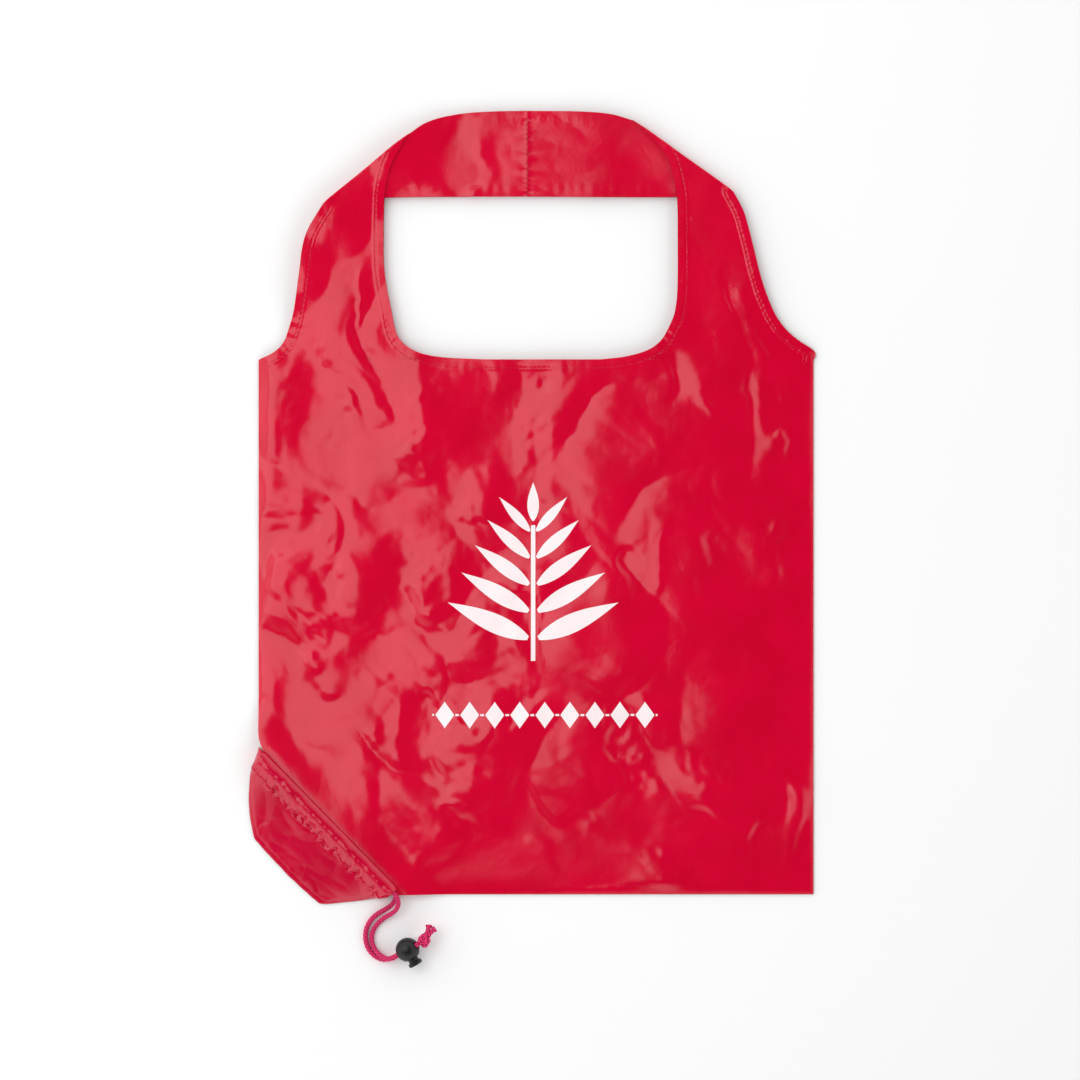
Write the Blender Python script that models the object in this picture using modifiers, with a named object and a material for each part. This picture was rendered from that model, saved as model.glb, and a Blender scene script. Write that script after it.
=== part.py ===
"""Foldable tote bag laid flat, with a drawcord pouch sewn over its bottom left corner.

Lengths are in millimetres and become metres through MM. Plan positions are X to the right and Y
towards the handle, from the middle of the bottom seam. The bag empty carries the whole object to
its frame, whose origin is the bottom centre of the bag's box without the cord.
"""

import math

import bmesh
import bpy
from mathutils import Matrix, Vector

MM = 0.001

# Driving dimensions
HALF_WIDTH = 190.0
ARMHOLE_Y = 366.0
HANDLE_TOP_Y = 536.0
FOLD_Y = 146.0
HANDLE_HINGE_Y = 376.0
POUCH_LEFT_X = -196.8
POUCH_BOTTOM_Y = -7.0
PLAN_CENTRE = Vector(((POUCH_LEFT_X + HALF_WIDTH) / 2, (POUCH_BOTTOM_Y + HANDLE_TOP_Y) / 2, 0))

# Cloth and the heights at which the layers lie
CLOTH = 0.5
GAP = 0.3
FRONT_Z = 7.2
FRONT_TOP = FRONT_Z + CLOTH
POUCH_FRONT_Z = FRONT_TOP + GAP
PRINT_THICKNESS = 0.2
SEAM_WIDTH = 1.2
HANDLE_SEAM_X = -6.0

# Pouch mouth: a diagonal line, along which U runs down to the right and V points into the bag
MOUTH_START = Vector((-187.0, 98.0))
MOUTH_END = Vector((-94.0, 3.0))
MOUTH_ALONG = (MOUTH_END - MOUTH_START).normalized()
MOUTH_INTO_BAG = Vector((-MOUTH_ALONG.y, MOUTH_ALONG.x))
CHANNEL_V = -3.0
CHANNEL_RADIUS = 2.6
CHANNEL_ENDS = (4.0, 130.0)
RAMP_V = (4.0, 30.0)
RAMP_RISE = 2 * CHANNEL_RADIUS + GAP

# Drawcord and its lock
CORD_RADIUS = 1.6
STRAND_SPACING = 1.8
LOCK_CENTRE = Vector((-87.7, -37.0, 8.2))
LOCK_RADIUS = 8.2
LOCK_TURN = math.radians(30)
LOCK_TILT = math.radians(12)
LOCK_SLOT = (4.6, 2 * (STRAND_SPACING + CORD_RADIUS + GAP))
BORE_RADIUS = 4.7
BORE_DEPTH = 6.2
PISTON_RADIUS = 4.4
PISTON_BACK = 3.4
PISTON_FRONT = 6.0
PISTON_SLOT = (-1.95, 4.05)
NECK_RADIUS = 3.6
CAP_RADIUS = 4.9
CAP_SPAN = (9.4, 11.9)
SPRING_RADIUS = 3.4
SPRING_WIRE = 0.5
SPRING_TURNS = 2.5
STRAIGHT_CORD = (8.6, 12.0)
KNOT_DISTANCE = 13.6
KNOT_RADIUS = 4.8

# Routes of the two strands between the pouch channel and the straight stretch at the lock
FRONT_STRAND_ROUTE = [
    (-95.6, -0.2, 10.4),
    (-94.0, -4.6, 9.3),
    (-95.2, -9.2, 7.3),
    (-98.7, -12.7, 4.8),
    (-103.2, -15.5, 2.8),
    (-107.3, -18.8, 1.9),
    (-110.6, -22.9, 1.7),
    (-112.4, -27.8, 1.7),
    (-112.3, -33.0, 1.8),
    (-110.2, -37.7, 2.5),
    (-106.6, -41.2, 4.3),
    (-102.2, -43.3, 6.2),
]
BACK_STRAND_ROUTE = [
    (-96.5, 0.5, 2.3),
    (-96.7, -4.0, 1.9),
    (-99.6, -7.8, 1.7),
    (-104.1, -10.7, 1.7),
    (-109.2, -13.8, 1.7),
    (-113.6, -18.2, 1.7),
    (-116.2, -23.8, 1.7),
    (-116.8, -30.0, 1.7),
    (-115.4, -35.9, 1.7),
    (-112.0, -40.8, 1.7),
    (-107.1, -44.0, 1.9),
    (-102.0, -44.4, 2.7),
]

# Outlines as corners (x, y, fillet radius)
POUCH_OUTER = [
    (-196.8, 84.0, 8),
    (-196.8, 52.0, 20),
    (-190.0, 35.0, 14),
    (-152.0, -3.6, 12),
    (-136.0, -7.0, 14),
    (-97.0, -5.0, 4),
]
LEFT_STRAP = [
    (-174.6, HANDLE_HINGE_Y + GAP / 2, 0),
    (-165.6, 398.0, 30),
    (-160.0, 441.0, 60),
    (-143.0, 475.0, 20),
    (-66.0, 535.4, 14),
    (HANDLE_SEAM_X - 1.4, HANDLE_TOP_Y, 0),
    (HANDLE_SEAM_X - 1.4, 477.0, 0),
    (-104.0, 477.0, 6),
    (-104.0, 418.0, 60),
    (-91.4, HANDLE_HINGE_Y + GAP / 2, 0),
]
RIGHT_STRAP = [
    (87.4, HANDLE_HINGE_Y + GAP / 2, 0),
    (97.0, 410.0, 40),
    (97.0, 477.0, 6),
    (HANDLE_SEAM_X + 1.4, 477.0, 0),
    (HANDLE_SEAM_X + 1.4, HANDLE_TOP_Y, 0),
    (56.0, 535.4, 14),
    (138.8, 475.0, 20),
    (150.6, 437.0, 60),
    (164.0, 396.0, 40),
    (184.6, HANDLE_HINGE_Y + GAP / 2, 0),
]


def along_mouth(u, v):
    """Plan point u along the pouch mouth and v from it, into the bag."""
    return MOUTH_START + u * MOUTH_ALONG + v * MOUTH_INTO_BAG


def panel_lift(point):
    """How far the back panel rises at a plan point, to let the pouch's back lie under it."""
    v = (point - MOUTH_START).dot(MOUTH_INTO_BAG)
    share = (RAMP_V[1] - v) / (RAMP_V[1] - RAMP_V[0])
    return RAMP_RISE * min(1.0, max(0.0, share))


def rounded(corners, step=math.radians(15)):
    """Outline through (x, y, radius) corners, each turned by an arc of its radius."""
    outline = []
    for i, (x, y, radius) in enumerate(corners):
        corner = Vector((x, y))
        if radius == 0:
            outline.append(corner)
            continue
        to_last = (Vector(corners[i - 1][:2]) - corner).normalized()
        to_next = (Vector(corners[(i + 1) % len(corners)][:2]) - corner).normalized()
        half = to_last.angle(to_next) / 2
        centre = corner + (to_last + to_next).normalized() * radius / math.sin(half)
        start = corner + to_last * radius / math.tan(half) - centre
        end = corner + to_next * radius / math.tan(half) - centre
        count = max(1, math.ceil(start.angle(end) / step))
        outline += [centre + radius * start.slerp(end, k / count) for k in range(count + 1)]
    return outline


def smooth_route(points, per_span=3):
    """Points on a Catmull-Rom curve through the route's own points."""
    points = [Vector(p) for p in points]
    padded = [2 * points[0] - points[1], *points, 2 * points[-1] - points[-2]]
    route = []
    for a, b, c, d in zip(padded, padded[1:], padded[2:], padded[3:]):
        for k in range(per_span):
            t = k / per_span
            route.append(
                b
                + (c - a) * t / 2
                + (2 * a - 5 * b + 4 * c - d) * t**2 / 2
                + (3 * b - a - 3 * c + d) * t**3 / 2
            )
    route.append(points[-1])
    return route


def material(name, colour, roughness, metallic=0.0):
    new = bpy.data.materials.new(name)
    new.use_nodes = True
    shader = new.node_tree.nodes["Principled BSDF"]
    shader.inputs["Base Color"].default_value = (*colour, 1.0)
    shader.inputs["Roughness"].default_value = roughness
    shader.inputs["Metallic"].default_value = metallic
    return new


def empty(name, parent=None, location=(0, 0, 0), rotation=(0, 0, 0)):
    """An axis that moving pieces hang on; location in millimetres from its parent."""
    axis = bpy.data.objects.new(name, None)
    axis.parent = parent
    axis.location = Vector(location) * MM
    axis.rotation_euler = rotation
    axis.empty_display_size = 0.01
    collection.objects.link(axis)
    return axis


def add(name, data, parent, location=(0, 0, 0), rotation=(0, 0, 0), finish=None):
    """One named sub-part; location is in its parent's millimetres."""
    piece = bpy.data.objects.new(name, data)
    piece.parent = parent
    piece.location = Vector(location) * MM
    piece.rotation_euler = rotation
    if finish:
        data.materials.append(finish)
    collection.objects.link(piece)
    return piece


def in_plan(parent, z=0.0):
    """Location that puts a piece's own origin over the plan's zero, whatever axis it hangs on."""
    offset = Vector((0, 0, z))
    while parent is not bag:
        offset -= parent.location / MM
        parent = parent.parent
    return offset


def flat_curve(name, outline, thickness):
    curve = bpy.data.curves.new(name, "CURVE")
    curve.dimensions = "2D"
    curve.fill_mode = "BOTH"
    curve.extrude = thickness / 2 * MM
    curve.render_resolution_u = 0
    spline = curve.splines.new("POLY")
    spline.points.add(len(outline) - 1)
    for point, place in zip(spline.points, outline):
        point.co = (place[0] * MM, place[1] * MM, 0, 1)
    spline.use_cyclic_u = True
    return curve


def plate(name, outline, low, high, parent, finish):
    """A flat piece of cloth lying between two heights."""
    curve = flat_curve(name, outline, high - low)
    return add(name, curve, parent, in_plan(parent, (low + high) / 2), finish=finish)


def standing_strip(name, outline, across, width, parent, finish, turned):
    """A seam that stands between the panels: an outline of (along, height), width thick.

    turned is True for a seam along Y and False for one along X.
    """
    curve = flat_curve(name, outline, width)
    offset = Vector((across, 0, 0)) if turned else Vector((0, across, 0))
    rotation = (math.pi / 2, 0, math.pi / 2 if turned else 0)
    return add(name, curve, parent, in_plan(parent) + offset, rotation, finish)


def tube(name, route, radius, parent, finish, wall=0.0, sides=2, placed=None):
    """A round cord along a route, or a hollow channel when wall is given."""
    curve = bpy.data.curves.new(name, "CURVE")
    curve.dimensions = "3D"
    curve.bevel_depth = radius * MM
    curve.bevel_resolution = sides
    curve.render_resolution_u = 0
    curve.use_fill_caps = wall == 0
    spline = curve.splines.new("POLY")
    spline.points.add(len(route) - 1)
    for point, place in zip(spline.points, route):
        point.co = (*(Vector(place) * MM), 1)
    piece = add(name, curve, parent, in_plan(parent) if placed is None else placed, finish=finish)
    if wall:
        shell = piece.modifiers.new("wall", "SOLIDIFY")
        shell.thickness = wall * MM
        shell.offset = -1
    return piece


def cut(piece, cutter):
    cutter.parent = piece.parent
    cutter.hide_render = True
    cutter.display_type = "WIRE"
    for owner in list(cutter.users_collection):
        owner.objects.unlink(cutter)
    cutters.objects.link(cutter)
    boolean = piece.modifiers.new(cutter.name, "BOOLEAN")
    boolean.operation = "DIFFERENCE"
    boolean.solver = "EXACT"
    boolean.object = cutter


def box_cutter(name, size, centre):
    """A box, size and centre in millimetres of the lock's own axes."""
    shape = bmesh.new()
    bmesh.ops.create_cube(shape, size=1.0)
    bmesh.ops.scale(shape, vec=Vector(size) * MM, verts=shape.verts)
    mesh = bpy.data.meshes.new(name)
    shape.to_mesh(mesh)
    shape.free()
    return add(name, mesh, None, centre)


def lower_back_panel(name, outline, parent, finish):
    """The lower back panel: flat, with a ramp up to where the pouch's back lies under it."""
    shape = bmesh.new()
    shape.faces.new([shape.verts.new((x * MM, y * MM, 0)) for x, y in outline])
    for v in RAMP_V:
        line = along_mouth(0, v)
        bmesh.ops.bisect_plane(
            shape,
            geom=shape.verts[:] + shape.edges[:] + shape.faces[:],
            dist=1e-7,
            plane_co=(line.x * MM, line.y * MM, 0),
            plane_no=(MOUTH_INTO_BAG.x, MOUTH_INTO_BAG.y, 0),
        )
    for vertex in shape.verts:
        vertex.co.z = panel_lift(vertex.co.xy / MM) * MM
    bmesh.ops.triangulate(shape, faces=shape.faces[:])
    mesh = bpy.data.meshes.new(name)
    shape.to_mesh(mesh)
    shape.free()
    piece = add(name, mesh, parent, in_plan(parent), finish=finish)
    cloth = piece.modifiers.new("cloth", "SOLIDIFY")
    cloth.thickness = CLOTH * MM
    cloth.offset = 1
    return piece


def upper_outline():
    """Both upper panels: straight at the fold, with the armhole corners cut off at the top."""
    top = HANDLE_HINGE_Y - GAP / 2
    return rounded([
        (-HALF_WIDTH, FOLD_Y + GAP / 2, 0),
        (HALF_WIDTH, FOLD_Y + GAP / 2, 0),
        (HALF_WIDTH, 372.0, 3),
        (184.8, top, 0),
        (86.0, top, 0),
        (66.0, ARMHOLE_Y, 40),
        (-56.0, ARMHOLE_Y, 60),
        (-91.6, top, 0),
        (-174.8, top, 0),
        (-HALF_WIDTH, ARMHOLE_Y, 6),
    ])


def lower_outline():
    """Both lower panels: square at the right, narrowed at the left to go into the pouch."""
    throat_left = [along_mouth(3.0, -1.0), along_mouth(3.0, -10.0)]
    throat_right = [along_mouth(129.0, -8.0), along_mouth(129.0, -1.0)]
    return rounded(
        [
            (HALF_WIDTH, FOLD_Y - GAP / 2, 0),
            (-HALF_WIDTH, FOLD_Y - GAP / 2, 0),
            (-HALF_WIDTH, 107.0, 3),
        ]
        + [(p.x, p.y, 0) for p in throat_left]
        + [(-191.0, 60.0, 0), (-170.0, 23.0, 0), (-146.0, 3.0, 0)]
        + [(p.x, p.y, 0) for p in throat_right]
        + [(-86.0, 0, 0), (HALF_WIDTH, 0, 4)]
    )


def sprig_outline(base, tip, leaves=5, leaf_length=62.0, leaf_width=13.0, stem=3.0):
    """A leaf sprig in one closed outline: leaves on both sides of a stem, one at its tip."""

    def leaf(root, angle, length, width):
        """Up one edge of a pointed leaf and down the other."""
        forward = Vector((math.cos(angle), math.sin(angle)))
        side = Vector((-forward.y, forward.x))
        steps = [k / 6 for k in range(1, 7)]
        bulge = [math.sin(math.pi * t**0.8) * width / 2 + stem / 2 * (1 - t) for t in steps]
        out = [root + forward * length * t - side * b for t, b in zip(steps, bulge)]
        back = [root + forward * length * t + side * b for t, b in zip(steps, bulge)]
        return out + back[-2::-1]

    base = Vector(base)
    up = Vector(tip) - base
    side = Vector((1, 0))
    half = []
    for k in range(leaves):
        share = 0.12 + 0.6 * k / (leaves - 1)
        size = 1 - 0.12 * k
        root = base + up * share + side * stem / 2
        half += leaf(root, math.radians(24 + 6 * k), leaf_length * size, leaf_width * size)
    right = [base + side * stem / 2, *half]
    left = [Vector((2 * base.x - p.x, p.y)) for p in reversed(right)]
    top = leaf(base + up * 0.78, math.pi / 2, up.length * 0.22, leaf_width * 0.6)
    return right + top + left


def lozenge_row(left, right, middle, count=9, line=1.4, height=9.0):
    """A row of lozenges joined by a thin line, in one closed outline."""
    pitch = (right - left) / count
    top = [(left, middle + line / 2)]
    for k in range(count):
        centre = left + pitch * (k + 0.5)
        half = pitch * 0.38
        top += [
            (centre - half, middle + line / 2),
            (centre, middle + height),
            (centre + half, middle + line / 2),
        ]
    top.append((right, middle + line / 2))
    bottom = [(x, 2 * middle - y) for x, y in top]
    return [Vector(p) for p in bottom + top[::-1]]


def panels():
    plate("back_panel_upper", upper_outline(), 0, CLOTH, bag, red_cloth)
    plate("front_panel_upper", upper_outline(), FRONT_Z, FRONT_TOP, bag, red_cloth)
    plate("front_panel_lower", lower_outline(), FRONT_Z, FRONT_TOP, fold_axis, red_cloth)
    lower_back_panel("back_panel_lower", lower_outline(), fold_axis, red_cloth)


def side_seams():
    """Seams between the panels' edges; the lower left one follows the back panel's ramp."""
    low, high = CLOTH + GAP, FRONT_Z - GAP
    across = HALF_WIDTH - SEAM_WIDTH / 2
    upper = [(FOLD_Y + 0.2, low), (ARMHOLE_Y - 6, low), (ARMHOLE_Y - 6, high), (FOLD_Y + 0.2, high)]
    for side, sign in (("left", -1), ("right", 1)):
        name = f"{side}_seam_upper"
        standing_strip(name, upper, sign * across, SEAM_WIDTH, bag, red_cloth, True)
    foot, top = 5.0, FOLD_Y - 0.2
    right = [(foot, low), (top, low), (top, high), (foot, high)]
    standing_strip("right_seam_lower", right, across, SEAM_WIDTH, fold_axis, red_cloth, True)
    ramp = [110.0, 118.0, 126.0, 134.0, 143.0]
    under = [(y, low + panel_lift(Vector((-across, y)))) for y in ramp]
    left = under + [(top, low + 0.3), (top, high), (ramp[0], high)]
    standing_strip("left_seam_lower", left, -across, SEAM_WIDTH, fold_axis, red_cloth, True)


def bottom_seam():
    low, high = CLOTH + GAP, FRONT_Z - GAP
    steps = [-84.0, -72.0, -60.0, -48.0]
    across = SEAM_WIDTH / 2
    under = [(x, low + panel_lift(Vector((x, across)))) for x in steps]
    outline = under + [(-40.0, low), (HALF_WIDTH - 5, low), (HALF_WIDTH - 5, high), (steps[0], high)]
    standing_strip("bottom_seam", outline, across, SEAM_WIDTH, fold_axis, red_cloth, False)


def prints():
    low = FRONT_TOP + GAP
    emblem = sprig_outline(base=(-2.0, 160.0), tip=(-2.0, 282.0))
    plate("printed_sprig", emblem, low, low + PRINT_THICKNESS, bag, white_ink)
    row = lozenge_row(-71.0, 83.0, 123.0)
    plate("printed_row", row, low, low + PRINT_THICKNESS, fold_axis, white_ink)


def pouch():
    """Sleeve over the corner: two faces, the seam round its outside and the mouth's channels."""
    mouth_edge = CHANNEL_V - CHANNEL_RADIUS - GAP
    mouth = [along_mouth(124.0, mouth_edge), along_mouth(1.0, mouth_edge)]
    outline = rounded([(p.x, p.y, 0) for p in mouth] + POUCH_OUTER)
    plate("pouch_back", outline, 0, CLOTH, fold_axis, pouch_cloth)
    plate("pouch_front", outline, POUCH_FRONT_Z, POUCH_FRONT_Z + CLOTH, fold_axis, pouch_cloth)
    edge = rounded([(-194.6, 88.0, 0)] + POUCH_OUTER[1:-1] + [(-104.0, -5.3, 0)])
    inner = [p + Vector((0.4, 0.4)) for p in edge]
    low, high = CLOTH + GAP, POUCH_FRONT_Z - GAP
    plate("pouch_seam", inner + [p + Vector((1.6, 1.6)) for p in reversed(edge)],
          low, high, fold_axis, pouch_cloth)
    channel_z = {"front": POUCH_FRONT_Z + CHANNEL_RADIUS, "back": CHANNEL_RADIUS}
    for side, z in channel_z.items():
        ends = [(*along_mouth(u, CHANNEL_V), z) for u in CHANNEL_ENDS]
        name = f"{side}_channel"
        tube(name, ends, CHANNEL_RADIUS, fold_axis, channel_cloth, wall=0.5, sides=4)
    return channel_z


def channel_cord(channel_z):
    """The cord inside both channels, turning round the bag's edge at the mouth's upper end."""
    middle = (channel_z["front"] + channel_z["back"]) / 2
    turn = (channel_z["front"] - channel_z["back"]) / 2
    start, end = CHANNEL_ENDS
    route = [(end - 0.3, channel_z["front"])]
    for k in range(13):
        angle = math.pi / 2 + math.pi * k / 12
        route.append((start + turn * math.cos(angle), middle + turn * math.sin(angle)))
    route.append((end - 0.3, channel_z["back"]))
    points = [(*along_mouth(u, CHANNEL_V), z) for u, z in route]
    tube("drawcord_in_channel", points, CORD_RADIUS, fold_axis, pink_cord)


def lock_axes():
    return Matrix.Rotation(LOCK_TURN, 3, "Z") @ Matrix.Rotation(-LOCK_TILT, 3, "Y")


def free_strands(channel_z):
    """The strands from the channels' ends, over the ground and through the lock."""
    axes = lock_axes()
    strands = {"front": (FRONT_STRAND_ROUTE, 1), "back": (BACK_STRAND_ROUTE, -1)}
    for side, (route, sign) in strands.items():
        start = (*along_mouth(CHANNEL_ENDS[1], CHANNEL_V), channel_z[side])
        offset = sign * STRAND_SPACING
        straight = [
            LOCK_CENTRE + axes @ Vector((s, 0, offset))
            for s in (-STRAIGHT_CORD[1], -STRAIGHT_CORD[1] + 3, STRAIGHT_CORD[0])
        ]
        points = smooth_route([start, *route, *straight[:2]]) + [straight[2]]
        tube(f"drawcord_{side}_strand", points, CORD_RADIUS, fold_axis, pink_cord)


def knot():
    axes = lock_axes()
    shape = bmesh.new()
    bmesh.ops.create_uvsphere(shape, u_segments=16, v_segments=10, radius=KNOT_RADIUS * MM)
    mesh = bpy.data.meshes.new("drawcord_knot")
    shape.to_mesh(mesh)
    shape.free()
    mesh.shade_smooth()
    place = LOCK_CENTRE + axes @ Vector((KNOT_DISTANCE, 0, 0))
    add("drawcord_knot", mesh, fold_axis, in_plan(fold_axis) + place, finish=pink_cord)
    tails = bmesh.new()
    bmesh.ops.create_cone(
        tails, cap_ends=True, segments=12, radius1=2.4 * MM, radius2=3.4 * MM, depth=5.0 * MM
    )
    mesh = bpy.data.meshes.new("drawcord_ends")
    tails.to_mesh(mesh)
    tails.free()
    away = Vector((0.48, 0.83, -0.28)).normalized()
    centre = place + away * (KNOT_RADIUS + GAP + 2.6)
    piece = add("drawcord_ends", mesh, fold_axis, in_plan(fold_axis) + centre, finish=pink_cord)
    piece.rotation_euler = away.to_track_quat("Z", "Y").to_euler()


def turned(name, profile, parent, rotation, finish, steps=24):
    """A turned piece: (radius, height) corners run down the outside, from axis to axis."""
    mesh = bpy.data.meshes.new(name)
    points = [(r * MM, 0, z * MM) for r, z in profile]
    mesh.from_pydata(points, [(i, i + 1) for i in range(len(points) - 1)], [])
    piece = add(name, mesh, parent, rotation=rotation, finish=finish)
    screw = piece.modifiers.new("turn", "SCREW")
    screw.steps = steps
    screw.render_steps = steps
    screw.use_merge_vertices = True
    screw.merge_threshold = 0.00001
    return piece


def cord_lock():
    """A ball with a slot for both strands and a blind bore for its sprung plunger."""
    shape = bmesh.new()
    bmesh.ops.create_uvsphere(shape, u_segments=32, v_segments=16, radius=LOCK_RADIUS * MM)
    mesh = bpy.data.meshes.new("lock_ball")
    shape.to_mesh(mesh)
    shape.free()
    mesh.shade_smooth()
    ball = add("lock_ball", mesh, lock_axis, finish=black_plastic)
    cut(ball, box_cutter("slot_cutter", (30.0, *LOCK_SLOT), (0, 0, 0)))
    bore = bmesh.new()
    length = BORE_DEPTH + 12.0
    bmesh.ops.create_cone(
        bore, cap_ends=True, segments=32, radius1=BORE_RADIUS * MM, radius2=BORE_RADIUS * MM,
        depth=length * MM,
    )
    mesh = bpy.data.meshes.new("bore_cutter")
    bore.to_mesh(mesh)
    bore.free()
    outward = (math.pi / 2, 0, 0)
    cut(ball, add("bore_cutter", mesh, None, (0, BORE_DEPTH - length / 2, 0), outward))

    profile = [
        (0, CAP_SPAN[1]),
        (CAP_RADIUS - 0.8, CAP_SPAN[1]),
        (CAP_RADIUS, CAP_SPAN[1] - 0.8),
        (CAP_RADIUS, CAP_SPAN[0]),
        (NECK_RADIUS, CAP_SPAN[0]),
        (NECK_RADIUS, PISTON_FRONT),
        (PISTON_RADIUS, PISTON_FRONT),
        (PISTON_RADIUS, -PISTON_BACK),
        (0, -PISTON_BACK),
    ]
    plunger = turned("lock_plunger", profile, plunger_axis, outward, black_plastic)
    size = PISTON_SLOT[1] - PISTON_SLOT[0]
    centre = (0, -(PISTON_SLOT[0] + PISTON_SLOT[1]) / 2, 0)
    cut(plunger, box_cutter("plunger_slot_cutter", (30.0, size, LOCK_SLOT[1]), centre))

    start = PISTON_BACK + GAP + SPRING_WIRE / 2
    end = BORE_DEPTH - GAP - SPRING_WIRE / 2
    count = int(12 * SPRING_TURNS)
    coil = []
    for k in range(count + 1):
        angle = 2 * math.pi * SPRING_TURNS * k / count
        y = start + (end - start) * k / count
        coil.append((SPRING_RADIUS * math.cos(angle), y, SPRING_RADIUS * math.sin(angle)))
    tube("lock_spring", coil, SPRING_WIRE / 2, lock_axis, spring_steel, placed=(0, 0, 0))


def handles():
    """Front and back handles: two straps each, joined by a seam at the middle of the band."""
    for side, low, axis in (
        ("front", FRONT_Z, front_handle_axis),
        ("back", 0.0, back_handle_axis),
    ):
        high = low + CLOTH
        plate(f"{side}_strap_left", rounded(LEFT_STRAP), low, high, axis, red_cloth)
        plate(f"{side}_strap_right", rounded(RIGHT_STRAP), low, high, axis, red_cloth)
        seam = [
            Vector((HANDLE_SEAM_X + x, y))
            for x, y in ((-1.1, 477.5), (1.1, 477.5), (1.1, 535.5), (-1.1, 535.5))
        ]
        plate(f"{side}_handle_seam", seam, low, high + 0.3, axis, red_cloth)


def clear_scene():
    for old in list(bpy.data.objects):
        bpy.data.objects.remove(old, do_unlink=True)


clear_scene()
collection = bpy.data.collections.new("foldable_tote_bag")
cutters = bpy.data.collections.new("cutters")
bpy.context.scene.collection.children.link(collection)
bpy.context.scene.collection.children.link(cutters)

red_cloth = material("red_cloth", (0.61, 0.003, 0.027), 0.35)
pouch_cloth = material("pouch_cloth", (0.56, 0.003, 0.034), 0.35)
channel_cloth = material("channel_cloth", (0.40, 0.008, 0.030), 0.45)
white_ink = material("white_ink", (0.95, 0.80, 0.81), 0.45)
pink_cord = material("pink_cord", (0.75, 0.012, 0.10), 0.75)
black_plastic = material("black_plastic", (0.045, 0.045, 0.05), 0.5)
spring_steel = material("spring_steel", (0.55, 0.55, 0.56), 0.3, metallic=1.0)

bag = empty("bag", location=-PLAN_CENTRE)
fold_axis = empty("body_fold_axis", bag, (0, FOLD_Y, FRONT_TOP))
front_handle_axis = empty("front_handle_axis", bag, (0, HANDLE_HINGE_Y, FRONT_TOP))
back_handle_axis = empty("back_handle_axis", bag, (0, HANDLE_HINGE_Y, CLOTH))
lock_place = in_plan(fold_axis) + LOCK_CENTRE
lock_axis = empty("cord_lock_axis", fold_axis, lock_place, (0, -LOCK_TILT, LOCK_TURN))
plunger_axis = empty("plunger_axis", lock_axis)

panels()
side_seams()
bottom_seam()
prints()
channel_heights = pouch()
channel_cord(channel_heights)
free_strands(channel_heights)
knot()
cord_lock()
handles()
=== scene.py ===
import math

import bmesh
import bpy
import numpy as np
from mathutils import Matrix, Vector

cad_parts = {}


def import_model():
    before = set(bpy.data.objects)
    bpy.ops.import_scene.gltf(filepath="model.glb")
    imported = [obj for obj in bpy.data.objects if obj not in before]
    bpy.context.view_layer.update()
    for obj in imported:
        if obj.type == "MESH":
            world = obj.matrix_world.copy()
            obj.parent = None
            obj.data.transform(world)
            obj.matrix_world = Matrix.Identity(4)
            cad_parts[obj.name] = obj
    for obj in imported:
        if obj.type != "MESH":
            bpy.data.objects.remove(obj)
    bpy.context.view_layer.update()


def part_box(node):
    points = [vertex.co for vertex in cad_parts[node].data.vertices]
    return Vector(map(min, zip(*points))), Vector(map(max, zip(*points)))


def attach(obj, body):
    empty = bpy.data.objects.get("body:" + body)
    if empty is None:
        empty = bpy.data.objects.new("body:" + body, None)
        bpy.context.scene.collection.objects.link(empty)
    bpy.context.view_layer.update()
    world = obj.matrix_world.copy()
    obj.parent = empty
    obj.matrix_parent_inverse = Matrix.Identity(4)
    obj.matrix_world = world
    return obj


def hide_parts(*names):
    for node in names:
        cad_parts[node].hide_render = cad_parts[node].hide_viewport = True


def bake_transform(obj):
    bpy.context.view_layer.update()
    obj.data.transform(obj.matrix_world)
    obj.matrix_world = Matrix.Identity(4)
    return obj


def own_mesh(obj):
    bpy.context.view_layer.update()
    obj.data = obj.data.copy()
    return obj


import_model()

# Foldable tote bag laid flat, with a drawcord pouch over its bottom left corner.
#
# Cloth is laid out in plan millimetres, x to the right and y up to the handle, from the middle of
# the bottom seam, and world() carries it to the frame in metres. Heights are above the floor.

MM = 0.001

# Places taken from the frame
panel_low, panel_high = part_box("front_panel_upper")
MID_X = (panel_low.x + panel_high.x) / 2
BOTTOM_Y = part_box("bottom_seam")[0].y
HALF_WIDTH = (panel_high.x - panel_low.x) / 2 / MM
handle_seam_low, handle_seam_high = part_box("front_handle_seam")
HANDLE_SEAM_X = ((handle_seam_low.x + handle_seam_high.x) / 2 - MID_X) / MM

# Cloth
CLOTH = 0.25
SEAM_Z = 0.85
HEM_WIDTH = 7.0
HEM_RISE = 0.35
STITCH_INSET = 5.8
STITCH_PITCH = 3.3
SHOULDER_Y = 366.0
STRAIGHT_ROWS_Y = 400.0
BODY_STEP = 1.6
BACK_STEP = 2.6
FINE_STEPS = (0, 0.6, 1.2, 1.9, 2.7, 3.6, 4.6, 5.3, 5.8, 6.3, 7.0, 7.7, 8.6)

# Pouch mouth: u runs along it down to the right, v points into the bag
MOUTH_START = np.array([-187.0, 98.0])
MOUTH_END = np.array([-94.0, 3.0])
MOUTH_ALONG = (MOUTH_END - MOUTH_START) / np.linalg.norm(MOUTH_END - MOUTH_START)
MOUTH_INTO_BAG = np.array([-MOUTH_ALONG[1], MOUTH_ALONG[0]])
CHANNEL_V = -3.0
CHANNEL_ENDS = (4.0, 130.0)
CHANNEL_Z = {"front": 10.6, "back": 2.6}
PANEL_LIFT = 5.5
LIFT_V = (0.5, 25.0)

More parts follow.
